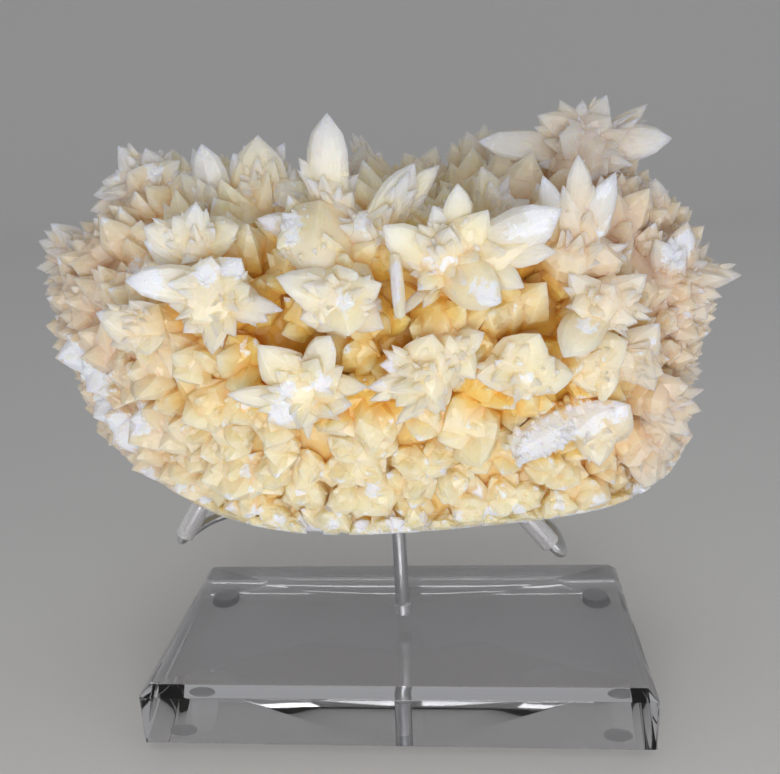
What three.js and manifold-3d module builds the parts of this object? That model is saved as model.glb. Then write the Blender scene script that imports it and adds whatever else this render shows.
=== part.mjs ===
// Honey calcite cluster on its display stand. Millimetres, +Z up, the viewer stands on the -Y side.
// All places below are measured from the middle of the acrylic block, on the surface it stands on.
import * as THREE from "three";
import Module from "manifold-3d";

const wasm = await Module();
wasm.setup();

// The loaf of grown-together calcite under the crystals: a D-shaped outline on a tilted flat cut,
// drawn up along a leaning direction and rounded over at the top.
const rimFront = new THREE.Vector3(-4, -18.5, 63.3);
const cutTilt = 24;
const bodyLean = 12;
const halfLength = 98;
const frontDepth = 58;
const backDepth = 30;
const loafHeight = 72.2;
const heightLossPerMm = 0.13;
const shoulderPower = 4.5;
const outlinePower = 2.4;
const flankBulge = 0.05;
const bulgeStretch = 1.15;

// Near the cut edge the outline is squarer at the right end and rounder at the left one, by this much
// of its power. That fades out by this share of the height.
const rimSkew = 0.6;
const rimFade = 0.35;

// Rings of points round the loaf: how high up the body or how far in from its edge, and how many.
const bodyRings = [[0, 50], [0.1, 46], [0.22, 44], [0.35, 42], [0.49, 40], [0.63, 37], [0.77, 33],
  [0.9, 28]];
const crownRings = [[0.64, 22], [0.46, 15], [0.28, 9], [0.12, 4]];
const ringJitter = 0.3;
const shareJitter = 0.05;

// How near the middle of its triangle a small crystal's point stays: more keeps it nearer.
const evenWeight = 0.5;

// Mounds that carry the tall sprays, and hollows between them: place, height, spread.
const mounds = [
  [-8, -20, 148, 11, 15], [20, -30, 140, 4, 14], [56, 6, 156, 14, 17], [-66, 6, 152, 9, 18],
  [-40, 0, 152, 5, 16], [-104, 24, 132, 5, 16], [88, -4, 128, 4, 14], [-43, -28, 132, 4, 14],
  [38, -38, 134, -6, 9], [-5, -37, 140, -4, 8], [0, -40, 104, 2, 40],
];

// Near the cut edge the mounds fade out below this rise.
const moundFade = 0.15;

// Every triangle between those points rises to the point of a small crystal. The points lie this deep
// under the loaf's surface, the small crystals rise this far from them, low down and high up, each
// times its own share. From the full-size rise upwards they are as tall as high up.
const crystalBed = 3.5;
const smallCrystalLow = 6;
const smallCrystalHigh = 10;
const smallCrystalShares = [0.7, 1.2];
const fullSizeRise = 0.5;

// The large crystals, spray by spray. Each spray grows from the point "at"; a crystal is written as
// the way from there to its tip, [right, up, towards the viewer], and its width.
const sprays = [
  { name: "spire", at: [-9, -20, 155], crystals: [
      [0, 27.5, 2.5, 11], [-8.5, 17, 1.5, 5.5], [6.5, 12, -3.5, 4]],
  },
  { name: "frontBlock", at: [-15, -25, 152], crystals: [
      [-13.5, 5.5, 2.5, 5], [8.5, -6, 7.5, 7]],
  },
  { name: "fan", at: [1, -25, 151], crystals: [
      [12, 18.5, 4, 9], [11, 17, 9.5, 4], [18, 17.5, 0, 6.5]],
  },
  { name: "great", at: [21, -33, 145], crystals: [
      [2.5, 20, 9, 8], [0.5, 10.5, 13, 6], [26, 13.5, 13, 12.5], [25, 3.5, 12, 9],
      [17.5, -4.5, 12.5, 7.5], [12, -7, 16.5, 12.5], [-8, -5, 8, 6.5], [-15.5, 11, 8.5, 10],
      [-3.5, 15, 7, 7], [-13.5, -10.5, 14.5, 3]],
  },
  { name: "crest", at: [32, -13, 150], crystals: [
      [5, 14.5, 0, 4], [-2.5, 17, 0, 6.5], [10, 8, 2.5, 6.5]],
  },
  { name: "rightTall", at: [53, -26, 143], crystals: [
      [7.5, 22.5, 10.5, 7.5], [-1.5, 27, 12, 7.5], [-9.5, 22.5, 11, 6]],
  },
  { name: "rightMiddle", at: [59, -28, 132], crystals: [
      [10, 8.5, 6, 7], [-9, 9.5, 6, 7.5], [-11, -9.5, 15, 11.5], [12, -1, 5.5, 3.5]],
  },
  { name: "rightEdge", at: [81, -4, 131], crystals: [
      [19.5, 3, 1.5, 6], [14, -2.5, 3.5, 5.5], [10.5, -9, 2.5, 10], [4, 18.5, 1.5, 8],
      [9, 13, -4, 5], [12.5, 11.5, -6.5, 4], [-6, 15, 9, 7.5], [10.5, 7, 0, 5.5]],
  },
  { name: "summit", at: [60, 7, 168], crystals: [
      [22, 3, 4, 9], [5, 15.5, -1.5, 7.5], [-1.5, 14.5, -2.5, 7], [-8, 15, -1.5, 7],
      [17, 12.5, -5.5, 5.5], [18, 8, -7, 4], [-14.5, 11, 1.5, 8.5], [-31, 5, 8.5, 10],
      [-9, 5.5, 9, 8.5], [10.5, -3.5, 5, 7]],
  },
  { name: "summitRight", at: [74, 6, 151], crystals: [] },
  { name: "backRight", at: [30, 32, 158], crystals: [
      [1.5, 19.5, 0, 7], [-4, 17.5, 1.5, 8], [11.5, 17.5, -2, 5], [6, 14.5, 2.5, 7],
      [-9, 14.5, 1.5, 6.5]],
  },
  { name: "backMiddle", at: [12, 32, 158], crystals: [
      [4.5, 13.5, 0, 7], [-6, 12, 0, 6.5]],
  },
  { name: "backLeft", at: [-5, 32, 157], crystals: [
      [-1.5, 16, 0, 11], [4, 14, 0, 6.5], [-5.5, 20, -3.5, 5], [-7.5, 11.5, 2.5, 7]],
  },
  { name: "topLeft", at: [-36, -1, 159], crystals: [
      [4, 19, 1.5, 11.5], [10.5, 16.5, -3.5, 6.5], [-4, 14.5, 0, 7.5], [9, 12, 5.5, 7]],
  },
  { name: "topLeftEnd", at: [-47, -3, 156], crystals: [
      [-0.5, 20.5, 2, 11.5], [-5.5, 19.5, -5.5, 5.5], [-7.5, 13, 1.5, 7.5], [3, 9.5, 8.5, 7.5]],
  },
  { name: "cornerLeft", at: [-70, 10, 162], crystals: [
      [-7.5, 15, 0, 7.5], [0.5, 14, -1, 7.5], [4, 13.5, -4, 5.5], [7.5, 13, -4, 5],
      [12.5, 10, 4.5, 7.5], [-13.5, 5, 1.5, 6.5], [-17, 1, 1.5, 6.5], [-18, -3.5, 3, 6.5],
      [-2, 7.5, 9.5, 8.5], [-7.5, -7.5, 6.5, 7.5]],
  },
  { name: "peach", at: [-44, -27, 150], crystals: [
      [-13, 3.5, 6, 12], [-12.5, 7.5, 6.5, 9], [2, 13, 6, 8], [12.5, 6.5, 6.5, 7.5]],
  },
  { name: "shoulder", at: [-25, -2, 160], crystals: [
      [-14.5, -1.5, 5, 10]],
  },
  { name: "frostLeft", at: [-39, -37, 139], crystals: [
      [15, -5, 7, 7], [19.5, -2, 8.5, 5], [-19, 7, 9, 9.5], [0, -13, 7.5, 6], [10, 11, 7, 8.5],
      [2, 11.5, 5, 8], [12, 4.5, 9, 7.5]],
  },
  { name: "leftLow", at: [-59, -32, 132], crystals: [
      [-11.5, 4.5, 5.5, 8]],
  },
  { name: "leftEdge", at: [-99, 24, 140], crystals: [
      [-10.5, 14, 0, 8], [-15.5, 8.5, 0, 6.5], [-18, -0.5, 0, 6.5], [-16, -9.5, 1.5, 7],
      [-6, -9.5, 9.5, 8], [11.5, 8, 5, 8]],
  },
  { name: "heart", at: [-8, -40, 138], crystals: [
      [-12.5, 7.5, 6.5, 8.5], [13, 5, 6.5, 6.5], [13, -6, 6.5, 6.5]],
  },
  { name: "lowLeft", at: [-18, -39, 114], crystals: [
      [-8.5, 15, 7.5, 9], [-2.5, 12, 5.5, 7], [3, 12, 5.5, 4.5], [10, 17, 9, 10],
      [-17.5, 2.5, 8, 6.5], [18, 3.5, 8, 6.5], [14, -1, 8, 5.5]],
  },
  { name: "lowMiddle", at: [15, -39, 117], crystals: [
      [1.5, 13, 6, 8.5], [-11, 9.5, 6.5, 4], [-12, 5.5, 6, 6.5], [-15.5, 0, 7, 6],
      [-9, -10, 7.5, 3.5]],
  },
  { name: "middleRight", at: [20, -39, 124], crystals: [] },
  { name: "pair", at: [39, -34, 115], crystals: [
      [-4, 11, 5.5, 8], [-12.5, 2, 5.5, 7.5], [3.5, 13, 6.5, 9.5], [12, 2, 5.5, 7.5]],
  },
  { name: "pairRight", at: [58, -28, 115], crystals: [
      [7, 8.5, 5, 9.5]],
  },
  { name: "rightScales", at: [66, -25, 116], crystals: [
      [8.5, 10, 0, 7.5]],
  },
  { name: "rightRim", at: [81, 0, 108], crystals: [
      [12, -3, 0, 6], [11.5, -6, -1, 4]],
  },
  { name: "rightLow", at: [76, -14, 101], crystals: [
      [14, 3, 0, 4.5], [13.5, -3.5, 0, 6.5], [11, -11, 0, 6.5]],
  },
  { name: "rightFoot", at: [73, -12, 85], crystals: [
      [2.5, -11.5, 3, 8]],
  },
  { name: "slabEnd", at: [58, -23, 97], crystals: [
      [9, 8, 5.5, 10]],
  },
];

// Each spray stands on a knob that reaches back into the loaf, towards its inside.
const knob = { width: 14, depth: 20, rise: 1.5, towards: [0.7, 15, 112] };

// The big sugar-coated crystal low on the right: root, tip, width, thickness.
const slab = { root: [61, -14, 99], tip: [37, -31, 85], width: 15, thickness: 11 };

// Stand: a clear block, four clear bumpers, a steel post and three bent steel arms with clear sleeves.
const blockLength = 152.4;
const blockDepth = 76.2;
const blockHeight = 19.05;
const blockBevel = 2.84;
const bumperRadius = 4.75;
const bumperHeight = 3;
const bumperFromSide = 10.7;
const bumperFromFront = 10.1;
const postY = 10.5;
const postRadius = 2.38;
const postTop = 50.5;
const postHoleRadius = 2.75;
const postHoleDepth = 9;
const rodRadius = 1.6;
const sleeveOuterRadius = 3.18;
const sleeveInnerRadius = 1.95;
const hubRadius = 4.2;
const hubHeight = 6;
const gap = 0.3;
const armSteps = 20;
const armQuarterSteps = 4;
const rodSides = 16;
const holeSides = 20;
const turnedSides = 10;

const arms = {
  left: [[-5, 11, 54], [-26, 17.5, 54.5], [-48, 19, 54.4], [-63, 11, 53.8], [-69.4, -1, 53],
    [-69.4, -4.6, 53.8]],
  right: [[5, 11, 54], [22, 18, 52.6], [40, 20.5, 50.6], [50, 13, 49], [52.6, -1, 47.4],
    [51.6, -4.6, 48.2]],
  back: [[0, 15.1, 54], [0, 30, 55.5], [0, 45, 60], [0, 54, 68], [0, 56.5, 76], [0, 55.5, 79]],
};
const fingerTips = { left: [-61, -3, 66.6], right: [37, -4, 66.2], back: [0, 50, 90.6] };
const sleeveShare = { left: [0.16, 0.98], right: [0.2, 0.98], back: [0.1, 0.98] };

const calciteLook = { color: 0xf0dcae, roughness: 0.35, metalness: 0 };
const acrylicLook = { color: 0xe8ecf4, roughness: 0.05, metalness: 0, transparent: true, opacity: 0.4 };
const steelLook = { color: 0x9a9ca2, roughness: 0.25, metalness: 1 };
const clearLook = { color: 0xdfe2e6, roughness: 0.25, metalness: 0, transparent: true, opacity: 0.6 };

const { degToRad: radians, lerp } = THREE.MathUtils;
const cutUp = new THREE.Vector3(0, Math.cos(radians(cutTilt)), Math.sin(radians(cutTilt)));
const bodyUp = new THREE.Vector3(0, -Math.sin(radians(bodyLean)), Math.cos(radians(bodyLean)));
const loafOrigin = rimFront.clone().addScaledVector(cutUp, frontDepth);

// A repeatable number between 0 and 1 for the n-th thing of the k-th kind.
function scatter(n, k) {
  const wave = Math.sin(n * 12.9898 + k * 78.233) * 43758.5453;
  return wave - Math.floor(wave);
}

// Point on the bare loaf: turn runs round it, rise from 0 at the cut edge to 1 at the crown.
function barePoint(turn, rise) {
  const slope = rise * Math.PI / 2;
  const swell = 1 + flankBulge * Math.sin(Math.PI * Math.min(rise * bulgeStretch, 1));
  const reach = Math.abs(Math.cos(slope)) ** (2 / shoulderPower) * swell;
  const height = Math.abs(Math.sin(slope)) ** (2 / shoulderPower);
  const cos = Math.cos(turn);
  const sin = Math.sin(turn);
  const power = outlinePower + rimSkew * cos * Math.max(0, 1 - height / rimFade);
  const outline = (Math.abs(cos) ** power + Math.abs(sin) ** power) ** (-1 / power);
  const along = halfLength * cos * outline * reach;
  const back = (sin < 0 ? frontDepth : backDepth) * sin * outline * reach;
  const point = loafOrigin.clone().addScaledVector(cutUp, back);
  point.x += along;
  return point.addScaledVector(bodyUp, (loafHeight - heightLossPerMm * back) * height);
}

// Outward direction of the bare loaf.
function bareNormal(turn, rise) {
  const step = 0.001;
  const low = Math.max(rise - step, 0);
  const high = Math.min(rise + step, 0.9999);
  const round = barePoint(turn + step, rise).sub(barePoint(turn - step, rise));
  return round.cross(barePoint(turn, high).sub(barePoint(turn, low))).normalize();
}

// Point on the loaf with its mounds and hollows, or some way under it.
function loafPoint(turn, rise, under) {
  const point = barePoint(turn, rise);
  let lift = 0;
  for (const [x, y, z, height, spread] of mounds) {
    const away = point.distanceToSquared(new THREE.Vector3(x, y, z));
    lift += height * Math.exp(-away / (2 * spread * spread));
  }
  const fade = Math.min(1, rise / moundFade);
  return point.addScaledVector(bareNormal(turn, rise), lift * fade - under);
}

function solidFrom(points, triangles) {
  const vertProperties = new Float32Array(points.flatMap((p) => [p.x, p.y, p.z]));
  const triVerts = new Uint32Array(triangles.flat());
  return new wasm.Manifold(new wasm.Mesh({ numProp: 3, vertProperties, triVerts }));
}

// Closes a stack of rings of equal count: a fan at each end and quads split in two between.
function ringsToSolid(rings, endPoint, startPoint) {
  const count = rings[0].length;
  const points = [...rings.flat(), startPoint, endPoint];
  const start = points.length - 2;
  const end = points.length - 1;
  const lastRing = (rings.length - 1) * count;
  const triangles = [];
  for (let i = 0; i < count; i += 1) {
    const next = (i + 1) % count;
    triangles.push([start, next, i], [end, lastRing + i, lastRing + next]);
    for (let ring = 0; ring < rings.length - 1; ring += 1) {
      const low = ring * count;
      const high = low + count;
      triangles.push([low + i, low + next, high + next], [low + i, high + next, high + i]);
    }
  }
  return solidFrom(points, triangles);
}

// How far along the rise a height share, or a share of the full reach, is met.
const riseAtHeight = (share) => Math.asin(share ** (shoulderPower / 2)) * 2 / Math.PI;
const riseAtReach = (share) => Math.acos(share ** (shoulderPower / 2)) * 2 / Math.PI;

// Joins two rings of unlike counts into a band of triangles. The rings are lists of point numbers.
function bandBetween(low, high) {
  const band = [];
  let i = 0;
  let j = 0;
  while (i < low.length || j < high.length) {
    const nextLow = low[(i + 1) % low.length];
    const nextHigh = high[(j + 1) % high.length];
    if (j >= high.length || (i < low.length && (i + 1) / low.length <= (j + 1) / high.length)) {
      band.push([low[i % low.length], nextLow, high[j % high.length]]);
      i += 1;
    } else {
      band.push([low[i % low.length], nextHigh, high[j % high.length]]);
      j += 1;
    }
  }
  return band;
}

// The loaf with a small crystal standing on every triangle of its surface.
function loafSolid() {
  const levels = [...bodyRings.map(([share, count]) => [riseAtHeight, share, count]),
    ...crownRings.map(([share, count]) => [riseAtReach, share, count])];
  const points = [];
  const rings = levels.map(([riseAt, share, count], ring) => {
    const isRim = ring === 0;
    return Array.from({ length: count }, (unused, step) => {
      const wobble = isRim ? 0 : (scatter(points.length, 1) - 0.5) * 2;
      const stray = isRim ? 0 : (scatter(points.length, 2) - 0.5) * 2;
      const turn = (step + 0.5 * (ring % 2) + wobble * ringJitter) / count * 2 * Math.PI;
      const rise = riseAt(share + stray * shareJitter);
      points.push({ place: loafPoint(turn, rise, isRim ? 0 : crystalBed), rise });
      return points.length - 1;
    });
  });
  points.push({ place: loafPoint(0, 1, crystalBed), rise: 1 });
  const crown = points.length - 1;
  const faces = [];
  for (let ring = 0; ring < rings.length - 1; ring += 1) {
    faces.push(...bandBetween(rings[ring], rings[ring + 1]));
  }
  rings.at(-1).forEach((corner, step, last) => faces.push([corner, last[(step + 1) % last.length], crown]));

  const triangles = [];
  faces.forEach(([a, b, c], number) => {
    const corners = [a, b, c].map((index) => points[index].place);
    const weights = [11, 12, 13].map((kind) => evenWeight + scatter(number, kind));
    const total = weights[0] + weights[1] + weights[2];
    const foot = new THREE.Vector3();
    corners.forEach((corner, index) => foot.addScaledVector(corner, weights[index] / total));
    const firstSide = corners[1].clone().sub(corners[0]);
    const secondSide = corners[2].clone().sub(corners[0]);
    const outward = firstSide.cross(secondSide).normalize();
    const size = lerp(smallCrystalLow, smallCrystalHigh, Math.min(1, points[a].rise / fullSizeRise));
    const height = size * lerp(...smallCrystalShares, scatter(number, 20));
    points.push({ place: foot.addScaledVector(outward, height) });
    const apex = points.length - 1;
    triangles.push([a, b, apex], [b, c, apex], [c, a, apex]);
  });
  points.push({ place: loafOrigin.clone() });
  const middle = points.length - 1;
  rings[0].forEach((corner, step, rim) => triangles.push([rim[(step + 1) % rim.length], corner, middle]));
  return solidFrom(points.map((point) => point.place), triangles);
}

// Everything below the flat cut, as a deep tilted slab.
const cutSlab = { halfLength: 200, halfDepth: 100, thickness: 60 };

function underCut() {
  const { halfLength: x, halfDepth: y, thickness } = cutSlab;
  const offCut = cutUp.clone().cross(new THREE.Vector3(-1, 0, 0)).normalize();
  const corner = (right, back, drop) => loafOrigin.clone().addScaledVector(cutUp, back)
    .addScaledVector(offCut, -drop).add(new THREE.Vector3(right, 0, 0));
  const sheet = (drop) => [[-x, -y], [x, -y], [x, y], [-x, y]]
    .map(([right, back]) => corner(right, back, drop));
  return ringsToSolid([sheet(thickness), sheet(0)], corner(0, 0, 0), corner(0, 0, thickness));
}

// A dogtooth crystal from root to tip. stations are [share of the length, share of the width].
function crystalSolid(root, tip, width, thickness, facing, sides, stations) {
  const along = tip.clone().sub(root);
  const across = along.clone().cross(facing).normalize().multiplyScalar(width / 2);
  const deep = along.clone().cross(across).normalize().multiplyScalar(thickness / 2);
  const rings = stations.map(([share, fatness]) => {
    const centre = root.clone().addScaledVector(along, share);
    return Array.from({ length: sides }, (unused, side) => {
      const angle = side / sides * 2 * Math.PI;
      return centre.clone().addScaledVector(across, Math.cos(angle) * fatness)
        .addScaledVector(deep, Math.sin(angle) * fatness);
    });
  });
  return ringsToSolid(rings, tip, root);
}

const heroStations = [[0.45, 1]];
const longStations = [[0, 0.45], [0.42, 1], [0.78, 0.66]];
const knobStations = [[0.1, 0.8], [0.8, 0.9]];
const slabStations = [[0, 0.8], [0.5, 1], [0.97, 0.72]];
const longCrystal = 22;
const wideCrystal = 9.5;
const crystalThickness = 0.75;
const wideSides = 6;
const narrowSides = 4;

// The viewer's side, slightly from above: large crystals turn their broad faces this way.
const viewerSide = new THREE.Vector3(0, -1, 0.25);

function sprayKnob(spray) {
  const root = new THREE.Vector3(...spray.at);
  const [share, y, z] = knob.towards;
  const inward = new THREE.Vector3(root.x * share, y, z).sub(root).normalize();
  const foot = root.clone().addScaledVector(inward, knob.depth);
  const top = root.clone().addScaledVector(inward, -knob.rise);
  return crystalSolid(foot, top, knob.width, knob.width, viewerSide, narrowSides, knobStations);
}

function sprayCrystals(spray) {
  const root = new THREE.Vector3(...spray.at);
  return spray.crystals.map(([right, up, out, width]) => {
    const tip = root.clone().add(new THREE.Vector3(right, -out, up));
    const isLong = root.distanceTo(tip) > longCrystal;
    const stations = isLong ? longStations : heroStations;
    const sides = width >= wideCrystal ? wideSides : narrowSides;
    return crystalSolid(root, tip, width, width * crystalThickness, viewerSide, sides, stations);
  });
}

function calciteCluster() {
  const parts = [loafSolid()];
  for (const spray of sprays) {
    parts.push(sprayKnob(spray), ...sprayCrystals(spray));
  }
  const slabRoot = new THREE.Vector3(...slab.root);
  const slabTip = new THREE.Vector3(...slab.tip);
  const { width, thickness } = slab;
  parts.push(crystalSolid(slabRoot, slabTip, width, thickness, viewerSide, wideSides, slabStations));
  const grown = wasm.Manifold.union(parts).subtract(underCut());
  // The outer skin is the largest shell: pockets closed off between crossing crystals are solid.
  const shells = grown.decompose();
  return shells.reduce((largest, shell) => (shell.volume() > largest.volume() ? shell : largest));
}

function geometryFrom(solid) {
  const { vertProperties, triVerts } = solid.getMesh();
  const geometry = new THREE.BufferGeometry();
  geometry.setAttribute("position", new THREE.BufferAttribute(new Float32Array(vertProperties), 3));
  geometry.setIndex(new THREE.BufferAttribute(new Uint32Array(triVerts), 1));
  return geometry;
}

function named(name, geometry, look) {
  const mesh = new THREE.Mesh(geometry, new THREE.MeshStandardMaterial(look));
  mesh.name = name;
  return mesh;
}

// The block: straight sides, a 45 degree bevel round the top, a blind hole for the post.
function acrylicBlock() {
  const bottom = bumperHeight;
  const top = bottom + blockHeight;
  const rectangle = (inset, z) => {
    const x = blockLength / 2 - inset;
    const y = blockDepth / 2 - inset;
    return [[-x, -y], [x, -y], [x, y], [-x, y]].map(([px, py]) => new THREE.Vector3(px, py, z));
  };
  const rings = [rectangle(0, bottom), rectangle(0, top - blockBevel), rectangle(blockBevel, top)];
  const block = ringsToSolid(rings, new THREE.Vector3(0, 0, top), new THREE.Vector3(0, 0, bottom));
  const circle = (z) => Array.from({ length: holeSides }, (unused, side) => {
    const angle = side / holeSides * 2 * Math.PI;
    return new THREE.Vector3(postHoleRadius * Math.cos(angle), postY + postHoleRadius * Math.sin(angle), z);
  });
  const floor = top - postHoleDepth;
  const hole = ringsToSolid([circle(floor), circle(top + 1)],
    new THREE.Vector3(0, postY, top + 1), new THREE.Vector3(0, postY, floor));
  return geometryFrom(block.subtract(hole));
}

function bumper(name, x, y) {
  const profile = [[0, 0], [0.86, 0], [1, 0.12], [0.9, 1], [0, 1]]
    .map(([reach, height]) => new THREE.Vector2(reach * bumperRadius, height * (bumperHeight - gap)));
  const mesh = named(name, new THREE.LatheGeometry(profile, turnedSides), clearLook);
  mesh.rotation.x = Math.PI / 2;
  mesh.position.set(x, y, 0);
  return mesh;
}

function uprightCylinder(name, radius, bottom, top, y, look) {
  const mesh = named(name, new THREE.CylinderGeometry(radius, radius, top - bottom, rodSides), look);
  mesh.rotation.x = Math.PI / 2;
  mesh.position.set(0, y, (bottom + top) / 2);
  return mesh;
}

// An arm: a round rod along a smooth curve through its points, then a straight finger.
function armRod(name, side) {
  const points = arms[side].map((place) => new THREE.Vector3(...place));
  const bend = points[points.length - 1];
  const tip = new THREE.Vector3(...fingerTips[side]);
  const path = new THREE.CurvePath();
  path.add(new THREE.CatmullRomCurve3(points, false, "centripetal"));
  path.add(new THREE.LineCurve3(bend, tip));
  const circle = new THREE.Shape();
  circle.absarc(0, 0, rodRadius, 0, 2 * Math.PI);
  const geometry = new THREE.ExtrudeGeometry(circle, {
    extrudePath: path, steps: armSteps, curveSegments: armQuarterSteps, bevelEnabled: false,
  });
  return named(name, geometry, steelLook);
}

// The clear sleeve on a finger: a short tube, its wall a closed outline turned round the axis.
function fingerSleeve(name, side) {
  const bend = new THREE.Vector3(...arms[side].at(-1));
  const tip = new THREE.Vector3(...fingerTips[side]);
  const [from, to] = sleeveShare[side];
  const start = bend.clone().lerp(tip, from);
  const end = bend.clone().lerp(tip, to);
  const length = start.distanceTo(end);
  const profile = [[sleeveInnerRadius, 0], [sleeveOuterRadius, 0], [sleeveOuterRadius, length],
    [sleeveInnerRadius, length], [sleeveInnerRadius, 0]].map((place) => new THREE.Vector2(...place));
  const mesh = named(name, new THREE.LatheGeometry(profile, turnedSides), clearLook);
  mesh.position.copy(start);
  mesh.quaternion.setFromUnitVectors(new THREE.Vector3(0, 1, 0), end.clone().sub(start).normalize());
  return mesh;
}

const bumperX = blockLength / 2 - bumperFromSide;
const bumperY = blockDepth / 2 - bumperFromFront;
const blockTop = bumperHeight + blockHeight;

const stand = new THREE.Group();
stand.add(named("acrylic_base", acrylicBlock(), acrylicLook));
stand.add(bumper("bumper_front_left", -bumperX, -bumperY));
stand.add(bumper("bumper_front_right", bumperX, -bumperY));
stand.add(bumper("bumper_back_left", -bumperX, bumperY));
stand.add(bumper("bumper_back_right", bumperX, bumperY));
stand.add(uprightCylinder("post", postRadius, blockTop - postHoleDepth + gap, postTop, postY, steelLook));
stand.add(uprightCylinder("hub", hubRadius, postTop + gap, postTop + gap + hubHeight, postY, steelLook));
for (const side of ["left", "right", "back"]) {
  stand.add(armRod(`arm_${side}`, side));
  stand.add(fingerSleeve(`sleeve_${side}`, side));
}

const object = new THREE.Group();
object.add(stand);
object.add(named("calcite_cluster", geometryFrom(calciteCluster()), calciteLook));

// The origin is under the middle of the whole thing, on the surface it stands on.
const reach = new THREE.Box3().setFromObject(object);
object.position.set(-(reach.min.x + reach.max.x) / 2, -(reach.min.y + reach.max.y) / 2, -reach.min.z);

export default object;
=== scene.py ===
import math
import bpy
import numpy as np
from mathutils import Matrix, Vector
from mathutils.bvhtree import BVHTree


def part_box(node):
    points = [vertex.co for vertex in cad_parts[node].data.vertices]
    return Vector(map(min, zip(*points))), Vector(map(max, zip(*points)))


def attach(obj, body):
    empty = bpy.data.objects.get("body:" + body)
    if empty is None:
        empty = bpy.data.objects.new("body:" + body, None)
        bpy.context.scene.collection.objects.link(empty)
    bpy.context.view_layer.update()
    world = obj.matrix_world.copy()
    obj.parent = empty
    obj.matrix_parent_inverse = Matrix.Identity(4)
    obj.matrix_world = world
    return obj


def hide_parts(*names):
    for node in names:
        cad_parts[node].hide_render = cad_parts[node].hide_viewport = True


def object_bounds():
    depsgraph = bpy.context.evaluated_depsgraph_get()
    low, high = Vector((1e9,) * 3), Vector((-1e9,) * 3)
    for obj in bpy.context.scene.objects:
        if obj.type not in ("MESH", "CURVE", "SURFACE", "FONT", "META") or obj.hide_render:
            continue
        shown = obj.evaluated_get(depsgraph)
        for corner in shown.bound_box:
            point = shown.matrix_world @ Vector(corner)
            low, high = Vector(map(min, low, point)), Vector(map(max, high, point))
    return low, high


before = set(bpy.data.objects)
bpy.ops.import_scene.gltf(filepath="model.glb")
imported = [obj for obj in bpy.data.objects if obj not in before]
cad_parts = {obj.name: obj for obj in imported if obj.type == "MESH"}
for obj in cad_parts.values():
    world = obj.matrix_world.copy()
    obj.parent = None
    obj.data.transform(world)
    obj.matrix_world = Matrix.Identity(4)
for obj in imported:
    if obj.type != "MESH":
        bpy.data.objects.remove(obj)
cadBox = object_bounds()

# Places are in millimetres from the middle of the clear block, on the surface it stands on.
# x runs to the viewer's right, y away from the viewer, z up.
blockLow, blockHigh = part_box("acrylic_base")
middle = np.array([(blockLow.x + blockHigh.x) / 2, (blockLow.y + blockHigh.y) / 2, 0.0])


# Metres in the frame: millimetres / 1000, plus the middle of the block.
def toFrame(places):
    return np.asarray(places, float) / 1000 + middle


# A repeatable number between 0 and 1 for the n-th thing of the k-th kind.
def scatter(n, k):
    wave = np.sin(np.asarray(n, float) * 12.9898 + np.asarray(k, float) * 78.233) * 43758.5453
    return wave - np.floor(wave)


# A share of the way from low to high.
def blend(low, high, share):
    return low + (high - low) * share


# A repeatable number between low and high.
def ranged(low, high, n, k):
    return blend(low, high, scatter(n, k))


# A vector over its own length.
def unit(vectors):
    return vectors / np.maximum(np.linalg.norm(vectors, axis=-1, keepdims=True), 1e-9)


# Angles of a circle cut into equal parts.
def circleAngles(count):
    return np.arange(count) / count * 2 * math.pi


# The camera stands where the photograph was taken from: place in millimetres, turns in degrees,
# lens and the middle of the picture in pixels of the photograph.
cameraSetup = {"place": (25.67, -245.82, 179.56), "yaw": -5.77, "pitch": 17.29, "roll": -3.20,
               "lensPixels": 852.1, "photoWidth": 780, "photoMiddle": (390, 387)}


# Unit directions to the right, up and ahead of the camera.
def cameraAxes():
    yaw, pitch, roll = (math.radians(cameraSetup[key]) for key in ("yaw", "pitch", "roll"))
    ahead = Vector((math.sin(yaw) * math.cos(pitch), math.cos(yaw) * math.cos(pitch), -math.sin(pitch)))
    right = Vector((math.cos(yaw), -math.sin(yaw), 0))
    up = right.cross(ahead)
    return (right * math.cos(roll) + up * math.sin(roll), up * math.cos(roll) - right * math.sin(roll), ahead)


# The loaf of grown-together calcite under the crystals. Angles are in degrees.
loaf = {
    "rimFront": (-4, -18.5, 63.3),
    "cutTilt": 24,
    "bodyLean": 12,
    "halfLength": 98,
    "frontDepth": 58,
    "backDepth": 30,
    "height": 72.2,
    "heightLossPerMm": 0.13,
    "shoulderPower": 4.5,
    "outlinePower": 2.4,
    "flankBulge": 0.05,
    "rimSkew": 0.6,
    "rimFade": 0.35,
    "underCrystals": 3.5,
}

# Mounds that carry the tall sprays, and hollows between them: x, y, z, height, spread.
mounds = np.array([
    (-8, -20, 148, 11, 15), (20, -30, 140, 4, 14), (56, 6, 156, 14, 17), (-66, 6, 152, 9, 18),
    (-40, 0, 152, 5, 16), (-104, 24, 132, 5, 16), (88, -4, 128, 4, 14), (-43, -28, 132, 4, 14),
    (38, -38, 134, -6, 9), (-5, -37, 140, -4, 8), (0, -40, 104, 2, 40),
], float)

cutUp = np.array([0, math.cos(math.radians(loaf["cutTilt"])), math.sin(math.radians(loaf["cutTilt"]))])
offCut = np.cross(cutUp, [-1, 0, 0])
bodyUp = np.array([0, -math.sin(math.radians(loaf["bodyLean"])), math.cos(math.radians(loaf["bodyLean"]))])
loafOrigin = np.array(loaf["rimFront"]) + cutUp * loaf["frontDepth"]


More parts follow.
